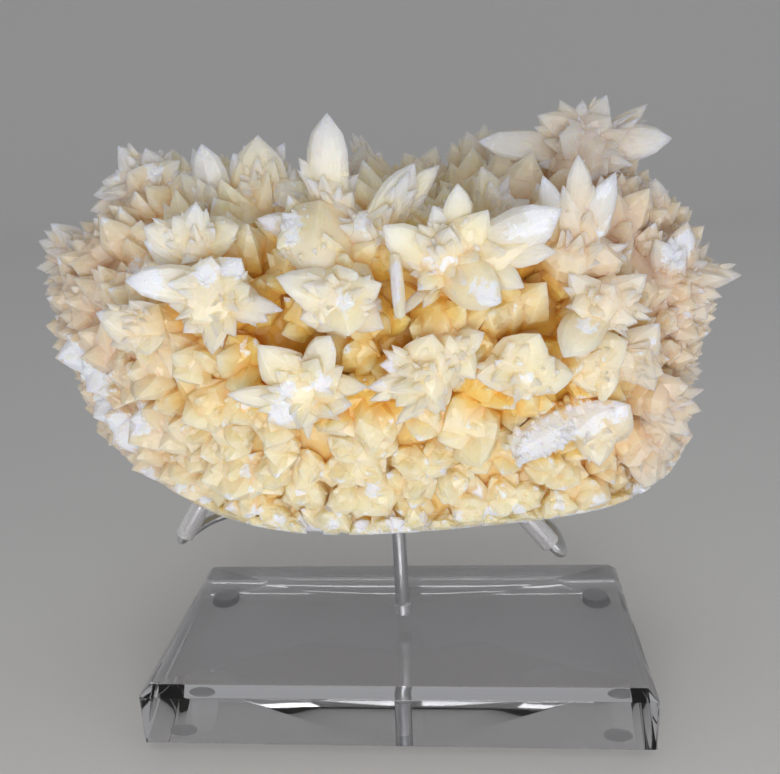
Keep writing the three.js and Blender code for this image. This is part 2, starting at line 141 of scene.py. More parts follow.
# Point on the bare loaf: turn runs round it, rise from 0 at the cut edge to 1 at the crown.
# The outline is a rounded box of unequal depths, drawn up along bodyUp with a rounded shoulder.
def barePoint(turn, rise):
    slope = rise * math.pi / 2
    swell = 1 + loaf["flankBulge"] * np.sin(math.pi * np.minimum(rise * 1.15, 1))
    reach = np.abs(np.cos(slope)) ** (2 / loaf["shoulderPower"]) * swell
    height = np.abs(np.sin(slope)) ** (2 / loaf["shoulderPower"])
    cos, sin = np.cos(turn), np.sin(turn)
    power = loaf["outlinePower"] + loaf["rimSkew"] * cos * np.maximum(0, 1 - height / loaf["rimFade"])
    outline = (np.abs(cos) ** power + np.abs(sin) ** power) ** (-1 / power)
    along = loaf["halfLength"] * cos * outline * reach
    back = np.where(sin < 0, loaf["frontDepth"], loaf["backDepth"]) * sin * outline * reach
    up = (loaf["height"] - loaf["heightLossPerMm"] * back) * height
    return loafOrigin + np.multiply.outer(along, [1.0, 0, 0]) + np.multiply.outer(back, cutUp) \
        + np.multiply.outer(up, bodyUp)


# Outward direction: the cross product of the steps round the loaf and up it.
def bareNormal(turn, rise):
    step = 0.001
    low, high = np.maximum(rise - step, 0), np.minimum(rise + step, 0.9999)
    around = barePoint(turn + step, rise) - barePoint(turn - step, rise)
    return unit(np.cross(around, barePoint(turn, high) - barePoint(turn, low)))


# The bare point pushed out by the sum of the mounds, each a bell curve of the distance to its middle.
def loafPoint(turn, rise, under=0.0):
    place = barePoint(turn, rise)
    away = ((place[..., None, :] - mounds[:, :3]) ** 2).sum(-1)
    lift = (mounds[:, 3] * np.exp(-away / (2 * mounds[:, 4] ** 2))).sum(-1)
    lift = lift * np.minimum(1, rise / 0.15) - under
    return place + bareNormal(turn, rise) * lift[..., None]


# How far along the rise a share of the height, or of the full reach, is met.
def riseAtHeight(share):
    return np.arcsin(share ** (loaf["shoulderPower"] / 2)) * 2 / math.pi


def riseAtReach(share):
    return np.arccos(share ** (loaf["shoulderPower"] / 2)) * 2 / math.pi


# Large crystals, spray by spray: the point they grow from, then for each crystal the way to its tip
# (right, up, towards the viewer) and its width.
sprays = {
    "spire": ((-9, -20, 155), ((0, 27.5, 2.5, 11), (-8.5, 17, 1.5, 5.5), (5.5, 8, 4.5, 5),
        (6.5, 12, -3.5, 4))),
    "frontBlock": ((-15, -25, 152), ((-13.5, 5.5, 2.5, 5), (-7, -3.5, 3, 8), (2.5, -7, 8.5, 9),
        (8.5, -6, 7.5, 7), (-6, 7, 5.5, 6), (10.5, 0.5, 4, 5.5), (-0.5, 8.5, 1.5, 7))),
    "fan": ((1, -25, 151), ((12, 18.5, 4, 9), (11, 17, 9.5, 4), (18, 17.5, 0, 6.5), (-2.5, -3, 3, 4),
        (-4.5, 6.5, 3, 5))),
    "great": ((21, -33, 145), ((2.5, 20, 9, 8), (0.5, 10.5, 13, 6), (26, 13.5, 13, 12.5), (25, 3.5, 12, 9),
        (17.5, -4.5, 12.5, 7.5), (12, -7, 16.5, 12.5), (-8, -5, 8, 6.5), (-10, -1.5, 5.5, 4.5),
        (-15.5, 11, 8.5, 10), (-3.5, 15, 7, 7), (-13.5, -10.5, 14.5, 3))),
    "crest": ((32, -13, 150), ((5, 14.5, 0, 4), (4.5, 10, 3, 6), (-2.5, 17, 0, 6.5), (10, 8, 2.5, 6.5))),
    "rightTall": ((53, -26, 143), ((7.5, 22.5, 10.5, 7.5), (4.5, 6, 5, 6.5), (-1.5, 27, 12, 7.5),
        (-9.5, 22.5, 11, 6), (-4.5, 7.5, 4, 6.5))),
    "rightMiddle": ((59, -28, 132), ((10, 8.5, 6, 7), (8.5, -4, 4.5, 7), (-9, 9.5, 6, 7.5),
        (-11, -9.5, 15, 11.5), (-4, 6, 9, 3.5), (12, -1, 5.5, 3.5))),
    "rightEdge": ((81, -4, 131), ((19.5, 3, 1.5, 6), (14, -2.5, 3.5, 5.5), (10.5, -9, 2.5, 10),
        (4, 18.5, 1.5, 8), (9, 13, -4, 5), (12.5, 11.5, -6.5, 4), (1.5, -2.5, 4, 8.5), (-6, 15, 9, 7.5),
        (10.5, 7, 0, 5.5))),
    "summit": ((60, 7, 168), ((22, 3, 4, 9), (5.5, 9.5, 3, 10), (5, 15.5, -1.5, 7.5), (-1.5, 14.5, -2.5, 7),
        (-8, 15, -1.5, 7), (17, 12.5, -5.5, 5.5), (18, 8, -7, 4), (-14.5, 11, 1.5, 8.5), (-31, 5, 8.5, 10),
        (-9, 5.5, 9, 8.5), (10.5, -3.5, 5, 7), (-2, -8, 8.5, 8))),
    "summitRight": ((74, 6, 151), ((4.5, 9.5, 0, 7.5), (8.5, 6, -1, 7), (10.5, -1, 0, 6.5),
        (-0.5, 11, -2, 6.5), (-4.5, 4, 5.5, 7.5))),
    "backRight": ((30, 32, 158), ((1.5, 19.5, 0, 7), (-4, 17.5, 1.5, 8), (11.5, 17.5, -2, 5),
        (6, 14.5, 2.5, 7), (-9, 14.5, 1.5, 6.5))),
    "backMiddle": ((12, 32, 158), ((4.5, 13.5, 0, 7), (-6, 12, 0, 6.5), (-1.5, 10, 3.5, 7.5))),
    "backLeft": ((-5, 32, 157), ((-1.5, 16, 0, 11), (4, 14, 0, 6.5), (-5.5, 20, -3.5, 5),
        (-7.5, 11.5, 2.5, 7))),
    "topLeft": ((-36, -1, 159), ((4, 19, 1.5, 11.5), (10.5, 16.5, -3.5, 6.5), (-4, 14.5, 0, 7.5),
        (9, 12, 5.5, 7), (-1, 7, 6, 7.5))),
    "topLeftEnd": ((-47, -3, 156), ((-0.5, 20.5, 2, 11.5), (-5.5, 19.5, -5.5, 5.5), (-7.5, 13, 1.5, 7.5),
        (3, 9.5, 8.5, 7.5))),
    "cornerLeft": ((-70, 10, 162), ((-7.5, 15, 0, 7.5), (0.5, 14, -1, 7.5), (4, 13.5, -4, 5.5),
        (7.5, 13, -4, 5), (12.5, 10, 4.5, 7.5), (-13.5, 5, 1.5, 6.5), (-17, 1, 1.5, 6.5), (-18, -3.5, 3, 6.5),
        (-2, 7.5, 9.5, 8.5), (-7.5, -7.5, 6.5, 7.5))),
    "peach": ((-44, -27, 150), ((-13, 3.5, 6, 12), (-12.5, 7.5, 6.5, 9), (2, 13, 6, 8), (3.5, 8.5, 5, 7.5),
        (12.5, 6.5, 6.5, 7.5), (-9.5, -2.5, 5.5, 7))),
    "shoulder": ((-25, -2, 160), ((-14.5, -1.5, 5, 10), (-6.5, 6, 3, 7.5))),
    "frostLeft": ((-39, -37, 139), ((-10.5, -0.5, 4.5, 6.5), (-7.5, -7.5, 5, 5.5), (15, -5, 7, 7),
        (19.5, -2, 8.5, 5), (-19, 7, 9, 9.5), (0, -13, 7.5, 6), (10, 11, 7, 8.5), (2, 11.5, 5, 8),
        (12, 4.5, 9, 7.5))),
    "leftLow": ((-59, -32, 132), ((-11.5, 4.5, 5.5, 8), (-9.5, -4.5, 4.5, 6.5), (-3, 7, 3.5, 6.5),
        (1.5, -7, 6, 7))),
    "leftEdge": ((-99, 24, 140), ((-10.5, 14, 0, 8), (-2, 10.5, 1, 7), (2.5, 11.5, 0, 7),
        (-15.5, 8.5, 0, 6.5), (-18, -0.5, 0, 6.5), (-16, -9.5, 1.5, 7), (-6, -9.5, 9.5, 8), (11.5, 8, 5, 8),
        (4.5, -8.5, 5.5, 8.5))),
    "heart": ((-8, -40, 138), ((-12.5, 7.5, 6.5, 8.5), (-5, 8, 4, 6), (7, 7.5, 4.5, 6.5), (13, 5, 6.5, 6.5),
        (13, -6, 6.5, 6.5), (2.5, -5.5, 7, 8), (-8, -3.5, 4, 6.5))),
    "lowLeft": ((-18, -39, 114), ((-8.5, 15, 7.5, 9), (-2.5, 12, 5.5, 7), (3, 12, 5.5, 4.5),
        (10, 17, 9, 10), (-17.5, 2.5, 8, 6.5), (-8.5, -5.5, 6, 8.5), (-4.5, 4, 6, 6.5), (18, 3.5, 8, 6.5),
        (14, -1, 8, 5.5), (1, -8, 6.5, 6.5))),
    "lowMiddle": ((15, -39, 117), ((1.5, 13, 6, 8.5), (-11, 9.5, 6.5, 4), (-12, 5.5, 6, 6.5),
        (-15.5, 0, 7, 6), (7, 7.5, 4.5, 5.5), (7, 4, 3.5, 6), (4.5, -3.5, 3.5, 3.5), (1.5, -8.5, 4, 6),
        (-9, -10, 7.5, 3.5), (-8.5, -5.5, 6, 6.5), (-2, 4, 7.5, 7))),
    "middleRight": ((20, -39, 124), ((9, 5.5, 4.5, 5), (6.5, 0, 3, 5.5), (6.5, -6.5, 4, 6))),
    "pair": ((39, -34, 115), ((-4, 11, 5.5, 8), (-12.5, 2, 5.5, 7.5), (3.5, 13, 6.5, 9.5),
        (1, -5, 3.5, 7.5), (12, 2, 5.5, 7.5), (6.5, -3, 3, 3.5))),
    "pairRight": ((58, -28, 115), ((7, 8.5, 5, 9.5), (5, -2.5, 4, 9.5), (-3.5, -4, 3, 8),
        (-4, 6.5, 3.5, 7))),
    "rightScales": ((66, -25, 116), ((8.5, 10, 0, 7.5), (7, 3, 2, 6), (9.5, -3, 2.5, 7.5),
        (2.5, -3.5, 5, 4.5), (7.5, -8, 2, 6.5))),
    "rightRim": ((81, 0, 108), ((5.5, 8.5, 0, 7), (9, 5, 0, 6.5), (4, 2.5, 3, 6), (12, -3, 0, 6),
        (5, -4.5, 2.5, 6), (11.5, -6, -1, 4))),
    "rightLow": ((76, -14, 101), ((14, 3, 0, 4.5), (9, 5, 2, 8), (13.5, -3.5, 0, 6.5), (7, 0, 2.5, 8.5),
        (11, -11, 0, 6.5), (-1.5, -4, 5, 6.5))),
    "rightFoot": ((73, -12, 85), ((7, 8.5, 2, 8), (12, 1, 0, 5), (10, -2, 0, 7), (7.5, -8, 1, 7.5),
        (2.5, -11.5, 3, 8), (1, -2.5, 1.5, 5), (-3.5, -3.5, 3.5, 6))),
    "slabEnd": ((58, -23, 97), ((9, 8, 5.5, 10), (1.5, -9.5, 5.5, 8), (5, -5, 4, 7))),
}

# Crystals of the sprays. A shape is the widest place along the crystal, the share of its width kept at the
# root, and how blunt the tip is. A crystal is long from longFrom millimetres on, and stubby below. Kind
# says how far it turns white towards its tip.
largeCrystals = {
    "thickness": 0.46,
    "longFrom": 20,
    "long": {"shape": (0.5, 0.78, 2.7), "width": 1.0, "sides": 8, "kind": 1.0},
    "stubby": {"shape": (0.42, 1.0, 1.7), "width": 1.4, "sides": 6, "kind": 0.8},
    "rings": 7,
    "rootSpread": 3.0,
    "twist": 14,
    "lensPower": 1.15,
}
# Short crystals that fill each spray, crystals between neighbours as seen from the front, layers in front
# of each large crystal (lean, reach, width), teeth along its edges, and the round bud at a spray's heart.
# Reach and width are shares of a crystal's or a spray's own.
fillers = {"perSpray": 6, "inward": 0.75, "reach": (0.6, 0.85), "width": 0.62, "kind": 0.8}
neighbours = {"reach": 0.84, "width": 1.3, "widestGap": 100, "kind": 0.65}
layers = {"rows": ((0.42, 0.76, 0.95), (0.95, 0.56, 0.9)), "aside": (-0.25, 0.25), "lean": (0.7, 1.3),
          "reach": (0.85, 1.15), "widest": 9, "kind": 0.65}
teeth = {"perCrystal": 3, "length": 0.2, "width": 0.6, "thickness": 0.7, "aside": 0.24,
         "longPlace": (0.2, 0.45), "shortPlace": (0.3, 0.72), "lean": (0.1, 0.32),
         "towardsViewer": (-0.1, 0.2), "reach": (0.9, 1.7), "stretch": 1.2, "kind": 0.8}
buds = {"behind": 0.45, "ahead": 0.45, "width": 1.1, "thickness": 0.85, "longest": 16,
        "towardsViewer": 0.3, "wobble": 0.35, "kind": 0.7}

# Rosettes of small crystals on the bare loaf, with lengths in millimetres. Length and width run from their
# first value at the rim to their second further up. Sunk is the share of its length by which a rosette
# starts inside, and the rim, the ends and the back carry shorter ones.
smallCrystals = {
    "tries": 16000,
    "onFlank": 0.72,
    "flank": (0.012, 0.942),  # share of the height
    "crown": (0.03, 0.85, 0.6),  # share of the reach, how much more, and the power of its growth
    "length": (16.5, 24.0),
    "lengthSpread": 0.42,
    "bigShare": 0.16,
    "bigSize": 1.1,
    "bigOffRim": 0.3,
    "sideSunk": 0.2,
    "sideFrom": (1.8, 0.3),
    "backFrom": 30,
    "backSize": 0.9,
    "endFrom": (72, 62),
    "endSize": (0.72, 0.56),
    "endBlend": 16,
    "spacing": 0.71,
    "petals": 6,
    "petalReach": (0.78, 1.12),
    "petalWidth": (0.85, 1.15),
    "kind": 0.4,
    "coreKind": 0.3,
    "tilt": (6, 46),
    "tiltPower": 0.7,
    "tiltSpread": 14,
    "turnEach": 2.4,
    "turnStart": 6.28,
    "turnSpread": 0.7,
    "width": (0.95, 0.62),
    "thickness": 0.6,
    "coreReach": 0.76,
    "coreWidth": 0.8,
    "sunk": 0.52,
    "bigSunk": 0.42,
    "growFrom": 0.08,
    "growTo": 0.42,
    "rimBand": 0.16,
    "rimShorter": 0.3,
    "upLean": 0.6,
    "rimLean": 1.5,
}

# Blocks: where each grows from, its far end, its width, its thickness, its form and the number of crust
# crystals on it.
blocks = {
    "slab": ((62, -13, 101), (36, -36, 95.5), 11.5, 8.5, "blunt", 120),
    "front": ((-12.5, -22, 157.5), (-13, -38.5, 144), 19, 12, "broad", 14),
    "frontLeft": ((-12, -26, 153), (-22, -36, 151), 10, 6, "broad", 8),
    "heart": ((-5.5, -34, 145), (-3.5, -49, 131), 14, 7, "broad", 6),
    "upright": ((7.7, -40, 149), (9, -48, 134.5), 3.2, 2.2, "blunt", 0),
}
# Forms: places along a crystal as shares of its length, each with its fatness there.
forms = {name: np.array(stations) for name, stations in {
    "tooth": [[0.35, 1.0], [0.7, 0.62]],
    "bud": [[0.12, 0.7], [0.4, 1.0], [0.68, 0.92], [0.9, 0.58]],
    "knob": [[0.1, 0.7], [0.6, 1.0], [0.86, 0.72]],
    "crust": [[0.3, 1.0], [0.8, 0.8]],
    "petal": [[0.25, 0.95], [0.5, 1.0], [0.76, 0.56]],
    "core": [[0.2, 0.9], [0.6, 1.0], [0.88, 0.6]],
    "blunt": [[0.02, 0.8], [0.25, 0.95], [0.5, 1], [0.75, 0.97], [0.96, 0.75]],
    "broad": [[0.02, 0.85], [0.25, 1.0], [0.5, 0.98], [0.72, 0.8], [0.9, 0.45]],
}.items()}
# Crust: the share of the block's length that it covers, how far out of the middle each crystal starts, how
# far it reaches towards the block's side and out of it, its width and its lean along the block.
crust = {"share": (0.1, 1.0), "start": 0.45, "reach": 0.55, "out": 0.9, "lengthSpread": (0.8, 1.2),
         "width": 1.9, "widthSpread": (0.8, 1.4), "thickness": 0.8, "lean": 0.1, "kind": 0.7}
# A plain core under each spray. It points at a place deep in the loaf: a share of the spray's own x, and a
# fixed y and z.
knob = {"width": 16, "depth": 20, "rise": 2.5, "towards": (0.7, 15, 112), "kind": 0.3}
viewerSide = np.array([0, -1, 0.25])


# Vertex numbers of one closed stack of rings: quads between rings, fans to the root and the tip.
# Returns corner vertices, face sizes, and for each corner the share of the way round.
def stackTopology(sides, rings):
    side = np.arange(sides)
    after = (side + 1) % sides
    root, tip = rings * sides, rings * sides + 1
    last = (rings - 1) * sides
    level = np.arange(rings - 1)[:, None] * sides
    quads = np.stack([level + side, level + after, level + sides + after, level + sides + side], -1)
    corners, sizes = [quads.reshape(-1)], [np.full((rings - 1) * sides, 4)]
    around = [np.tile(np.stack([side, side + 1, side + 1, side], -1).reshape(-1), rings - 1) / sides]
    for fan, end in ((np.stack([np.full(sides, root), after, side], -1), (0.5, 1, 0)),
                     (np.stack([np.full(sides, tip), last + side, last + after], -1), (0.5, 0, 1))):
        corners.append(fan.reshape(-1))
        sizes.append(np.full(sides, 3))
        around.append(((side[:, None] + np.array(end)) / sides).reshape(-1))
    return np.concatenate(corners), np.concatenate(sizes), np.concatenate(around)


# Dogtooth crystals, all at once. A ring's point is root + along * station, plus across times the cosine
# of the angle and deep times its sine raised to the lens power, at half the width times the station's
# fatness and the side's own share. The section is a lens with an edge at both sides.
def crystalPlaces(roots, tips, widths, thickness, stations, sides, seeds, wobble=0.1, twist=30,
                  lensPower=1.6):
    along = tips - roots
    across = unit(np.cross(along, viewerSide))
    deep = unit(np.cross(along, across))
    turned = np.radians(twist) * (scatter(seeds, 31)[:, None] - 0.5) * 2
    across, deep = (across * np.cos(turned) + deep * np.sin(turned),
                    deep * np.cos(turned) - across * np.sin(turned))
    sideNumber = np.arange(sides)
    angle = np.repeat(circleAngles(sides)[None], len(roots), 0)
    lens = np.sign(np.sin(angle)) * np.abs(np.sin(angle)) ** lensPower
    own = 1 + wobble * (scatter(seeds[:, None] * 7 + sideNumber, 32) - 0.5) * 2
    share, fatness = stations[:, 0], stations[:, 1]
    ringNumber = np.arange(len(share))
    fat = fatness * (1 + 0.5 * wobble * (scatter(seeds[:, None] * 5 + ringNumber, 33) - 0.5) * 2)
    radius = widths[:, None, None] / 2 * fat[:, :, None] * own[:, None, :]
    centre = roots[:, None, None, :] + along[:, None, None, :] * share[None, :, None, None]
    sideways = (radius * np.cos(angle)[:, None, :])[..., None] * across[:, None, None, :]
    inward = (radius * lens[:, None, :] * thickness)[..., None] * deep[:, None, None, :]
    rings = (centre + sideways + inward).reshape(len(roots), -1, 3)
    return np.concatenate([rings, roots[:, None], tips[:, None]], 1)


# Fatness along a crystal: it swells from the root to the widest place, then curves in to the point.
def dogtoothStations(count, widest, rootWidth, tipCurve):
    share = np.concatenate([[0.02], np.linspace(widest * 0.5, 0.97, count - 1)])
    rise = rootWidth + (1 - rootWidth) * np.sin(np.minimum(share / widest, 1) * math.pi / 2)
    fall = 1 - (np.maximum(share - widest, 0) / (1 - widest)) ** tipCurve
    return np.stack([share, rise * fall], -1)


crystals = []  # one entry per batch: places, topology, stations with both ends, lengths, seeds, kinds


# One batch of crystals of the same form; its level is 0 at a root and 1 at a tip.
def addCrystals(roots, tips, widths, thickness, stations, sides, seeds, kind, **shape):
    roots, tips, widths = (np.asarray(x, float) for x in (roots, tips, widths))
    crystals.append({
        "places": crystalPlaces(roots, tips, widths, thickness, stations, sides, seeds, **shape),
        "topology": stackTopology(sides, len(stations)),
        "level": np.concatenate([np.repeat(stations[:, 0], sides), [0.0, 1.0]]),
        "length": np.linalg.norm(tips - roots, axis=1), "seeds": seeds, "kind": kind,
    })


# Short crystals of the stubby form.
def addStubby(roots, tips, widths, rings, seeds, kind):
    addCrystals(roots, tips, widths, largeCrystals["thickness"],
                dogtoothStations(rings, *largeCrystals["stubby"]["shape"]), largeCrystals["stubby"]["sides"],
                seeds, kind, lensPower=largeCrystals["lensPower"])


print("placing the large crystals")
heroes, between, filling, knobs, budding = ([[], [], []] for batch in range(5))


# Notes down crystals for a batch: where they grow from, their tips and their widths.
def note(batch, roots, tips, widths):
    tips = np.atleast_2d(tips)
    batch[0].append(np.broadcast_to(roots, tips.shape))
    batch[1].append(tips)
    batch[2].append(np.broadcast_to(widths, len(tips)))


for number, (at, rows) in enumerate(sprays.values()):
    root = np.array(at, float)
    ways = np.array(rows, float)
    tips = root + np.stack([ways[:, 0], -ways[:, 2], ways[:, 1]], -1)
    note(heroes, root, tips, ways[:, 3])
    share, knobY, knobZ = knob["towards"]
    inward = unit(np.array([root[0] * share, knobY, knobZ]) - root)
    note(knobs, root + inward * knob["depth"], root - inward * knob["rise"], knob["width"])
    reach = min(np.linalg.norm(tips - root, axis=1).mean(), buds["longest"])
    budWay = unit(unit(tips - root).mean(0) + viewerSide * buds["towardsViewer"])
    note(budding, root - budWay * reach * buds["behind"], root + budWay * reach * buds["ahead"],
         reach * buds["width"])
    # A crystal between each pair of neighbours as seen from the front, unless the gap is wide.
    bearing = np.degrees(np.arctan2(ways[:, 1], ways[:, 0]))
    order = np.argsort(bearing)
    for one, two in zip(order, np.roll(order, -1)):
        if one == two or (bearing[two] - bearing[one]) % 360 > neighbours["widestGap"]:
            continue
        first, second = tips[one] - root, tips[two] - root
        length = min(np.linalg.norm(first), np.linalg.norm(second)) * neighbours["reach"]
        note(between, root, root + unit(unit(first) + unit(second)) * length,
             (ways[one, 3] + ways[two, 3]) / 2 * neighbours["width"])
    pick = number * 20 + np.arange(fillers["perSpray"])
    anyWay = np.stack([scatter(pick, 41), scatter(pick, 42), scatter(pick, 43)], -1) * 2 - 1
    length = reach * ranged(*fillers["reach"], pick, 44)
    note(filling, root, root + unit(unit(anyWay) - inward * fillers["inward"]) * length[:, None],
         length * fillers["width"])
heroes, between, filling, knobs, budding = (
    [np.concatenate(column) for column in batch] for batch in (heroes, between, filling, knobs, budding))
heroRoots, heroTips, heroWidths = heroes
heroNumber = np.arange(len(heroTips))
rootShift = np.stack([scatter(heroNumber, k) - 0.5 for k in (81, 82, 83)], -1) * 2
rootShift = rootShift * largeCrystals["rootSpread"]
rootShift[:, 1] = np.abs(rootShift[:, 1])
heroRoots = heroRoots + rootShift
heroLong = np.linalg.norm(heroTips - heroRoots, axis=1) >= largeCrystals["longFrom"]
for chosen, sort in ((heroLong, largeCrystals["long"]), (~heroLong, largeCrystals["stubby"])):
    addCrystals(heroRoots[chosen], heroTips[chosen], heroWidths[chosen] * sort["width"],
                largeCrystals["thickness"], dogtoothStations(largeCrystals["rings"], *sort["shape"]),
                sort["sides"], heroNumber[chosen], sort["kind"], twist=largeCrystals["twist"],
                lensPower=largeCrystals["lensPower"])
addStubby(*filling, 3, 1000 + np.arange(len(filling[0])), fillers["kind"])
addStubby(*between, 4, 2500 + np.arange(len(between[0])), neighbours["kind"])

# Layers: shorter crystals in front of each large one, leaning more and more towards the viewer.
for layer, (lean, reach, width) in enumerate(layers["rows"]):
    seeds = 400 + 200 * layer + heroNumber
    heroWay = heroTips - heroRoots
    heroLength = np.minimum(np.linalg.norm(heroWay, axis=1), largeCrystals["longFrom"])[:, None]
    aside = unit(np.cross(heroWay, viewerSide)) * ranged(*layers["aside"], seeds, 76)[:, None]
    way = unit(unit(heroWay) + viewerSide * (lean * ranged(*layers["lean"], seeds, 77))[:, None] + aside)
    layerTips = heroRoots + way * heroLength * (reach * ranged(*layers["reach"], seeds, 78))[:, None]
    layerWidths = np.minimum(heroWidths, layers["widest"]) * width * largeCrystals["stubby"]["width"]
    addStubby(heroRoots, layerTips, layerWidths, 3, seeds, layers["kind"])

# Teeth: small crystals that lean out of a large one's two edges, nearly parallel to it.
toothOf = np.repeat(heroNumber, teeth["perCrystal"])
tooth = np.arange(len(toothOf))
heroWay = heroTips[toothOf] - heroRoots[toothOf]
heroLength = np.linalg.norm(heroWay, axis=1)[:, None]
heroSide = unit(np.cross(heroWay, viewerSide)) * np.where(tooth % 2, 1, -1)[:, None]
toothShare = np.where(heroLong[toothOf], ranged(*teeth["longPlace"], tooth, 71),
                      ranged(*teeth["shortPlace"], tooth, 71))[:, None]
toothRoot = heroRoots[toothOf] + heroWay * (toothShare - teeth["length"] * 0.5) \
    + heroSide * heroWidths[toothOf][:, None] * teeth["aside"]
toothWay = unit(heroWay / heroLength + heroSide * ranged(*teeth["lean"], tooth, 72)[:, None]
                + viewerSide * ranged(*teeth["towardsViewer"], tooth, 73)[:, None])
toothReach = heroLength * teeth["length"] * ranged(*teeth["reach"], tooth, 74)[:, None]
addCrystals(toothRoot, toothRoot + toothWay * toothReach * teeth["stretch"],
            toothReach[:, 0] * teeth["width"], teeth["thickness"], forms["tooth"], 5, 2000 + tooth,
            teeth["kind"], lensPower=1.0)
addCrystals(*budding, buds["thickness"], forms["bud"], 9, 1300 + np.arange(len(sprays)), buds["kind"],
            wobble=buds["wobble"], lensPower=1.0)
addCrystals(*knobs, 1.0, forms["knob"], 6, 1500 + np.arange(len(sprays)), knob["kind"], lensPower=1.0)


# Crust: small crystals that stand out of a block all round it. Each starts inside, on a line square to the
# block's length, and ends a little outside.
def addCrust(number, root, tip, width, thickness, form, count):
    seeds = 1800 + 200 * number + np.arange(count)
    way = tip - root
    across = unit(np.cross(way, viewerSide))
    deep = unit(np.cross(way, across))
    share = ranged(*crust["share"], seeds, 84)
    fatness = np.interp(share, *forms[form].T)
    turn = scatter(seeds, 85)[:, None] * 2 * math.pi
    out = across * np.cos(turn) * width / 2 + deep * np.sin(turn) * thickness / 2
    start = root + way * share[:, None] + out * (crust["start"] * fatness)[:, None]
    outward = unit(out + way * (crust["lean"] * (scatter(seeds, 86) - 0.3))[:, None])
    length = crust["reach"] * fatness * np.linalg.norm(out, axis=1) + crust["out"]
    length = length * ranged(*crust["lengthSpread"], seeds, 87)
    addCrystals(start, start + outward * length[:, None],
                crust["width"] * ranged(*crust["widthSpread"], seeds, 88), crust["thickness"],
                forms["crust"], 5, seeds, crust["kind"], lensPower=1.0)


for number, (root, tip, width, thickness, form, crustCount) in enumerate(blocks.values()):
    root, tip = np.array(root, float), np.array(tip, float)
    addCrystals([root], [tip], [width], thickness / width, forms[form], 8, np.array([1700 + number]),
                1.0, twist=5)
    crystals[-1]["level"] = crystals[-1]["level"] * 0.5  # a block stays honey further out than a crystal
    if crustCount:
        addCrust(number, root, tip, width, thickness, form, crustCount)

print("placing the small crystals")
small = smallCrystals
tryNumber = np.arange(small["tries"])
tryTurn = scatter(tryNumber, 1) * 2 * math.pi
onFlank = scatter(tryNumber, 2) < small["onFlank"]
shareOut = scatter(tryNumber, 3)
tryShare = ranged(*small["flank"], tryNumber, 3)
crownLow, crownMore, crownPower = small["crown"]
tryCrown = crownLow + crownMore * shareOut ** crownPower
tryRise = np.where(onFlank, riseAtHeight(tryShare), riseAtReach(tryCrown))
tryPlace = loafPoint(tryTurn, tryRise)
rimNear = np.where(onFlank, 1 - np.minimum(1, tryShare / small["rimBand"]), 0)
tryOut = unit(bareNormal(tryTurn, tryRise) + bodyUp * (small["upLean"] + small["rimLean"] * rimNear)[:, None])
upShare = np.clip((tryRise - small["growFrom"]) / (small["growTo"] - small["growFrom"]), 0, 1)
tryAlong = tryPlace[:, 0] - loafOrigin[0]
endFrom, endSize = (np.where(tryAlong < 0, *small[key]) for key in ("endFrom", "endSize"))
atEnd = np.clip((np.abs(tryAlong) - endFrom) / small["endBlend"], 0, 1)
isBig = (scatter(tryNumber, 10) < small["bigShare"]) & (rimNear < small["bigOffRim"]) & (atEnd == 0)
tryLength = blend(*small["length"], upShare)
tryLength = tryLength * (1 - small["lengthSpread"] * scatter(tryNumber, 4))
tryLength = tryLength * (1 - small["rimShorter"] * rimNear)
tryLength = tryLength * np.where(isBig, small["bigSize"], 1) * (1 - (1 - endSize) * atEnd)
tryLength = tryLength * np.where(tryPlace[:, 1] > small["backFrom"], small["backSize"], 1)
steepness, offset = small["sideFrom"]
sideways = np.clip(np.abs(bareNormal(tryTurn, tryRise)[:, 0]) * steepness - offset, 0, 1)
kept = []
for n in tryNumber:
    nearest = np.linalg.norm(tryPlace[kept] - tryPlace[n], axis=1)
    if not (nearest < small["spacing"] * (tryLength[kept] + tryLength[n]) / 2).any():
        kept.append(int(n))
kept = np.array(kept)
# Each kept place carries a rosette of petals round a core, tilted outward more and more.
petal = np.arange(small["petals"])
who = kept[:, None] * 10 + petal
out = np.repeat(tryOut[kept][:, None], len(petal), 1)
aside = unit(np.cross(out, [0.3, 0.2, 1.0]))
aslant = np.cross(out, aside)
tilt = np.radians(blend(*small["tilt"], (petal / (len(petal) - 1)) ** small["tiltPower"])
                  + small["tiltSpread"] * (scatter(who, 5) - 0.5))
bearing = petal * small["turnEach"] + scatter(kept, 6)[:, None] * small["turnStart"] \
    + small["turnSpread"] * (scatter(who, 7) - 0.5)
way = out * np.cos(tilt)[..., None] + (aside * np.cos(bearing)[..., None]
                                       + aslant * np.sin(bearing)[..., None]) * np.sin(tilt)[..., None]
keptLength = tryLength[kept]
petalLength = keptLength[:, None] * ranged(*small["petalReach"], who, 8)
sunk = (np.where(isBig, small["bigSunk"], small["sunk"]) + small["sideSunk"] * sideways)[kept] * keptLength
coreRoot = tryPlace[kept] - tryOut[kept] * sunk[:, None]
petalRoot = np.repeat(coreRoot[:, None], len(petal), 1)
petalTip = petalRoot + way * petalLength[..., None]
widthShare = blend(*small["width"], upShare[kept])
petalWidth = petalLength * widthShare[:, None] * ranged(*small["petalWidth"], who, 9)
addCrystals(petalRoot.reshape(-1, 3), petalTip.reshape(-1, 3), petalWidth.reshape(-1), small["thickness"],
            forms["petal"], 6, who.reshape(-1), small["kind"], lensPower=1.1)
addCrystals(coreRoot, coreRoot + tryOut[kept] * (keptLength * small["coreReach"])[:, None],
            keptLength * small["coreWidth"], 1.0, forms["core"], 6, kept + 50000, small["coreKind"],
            wobble=0.3, lensPower=1.0)
print("rosettes", len(kept), "small crystals", who.size)


# A number for each corner, face or point, read by the material.
def setAttribute(mesh, title, domain, values):
    mesh.attributes.new(title, "FLOAT", domain).data.foreach_set("value", values.astype(np.float32))


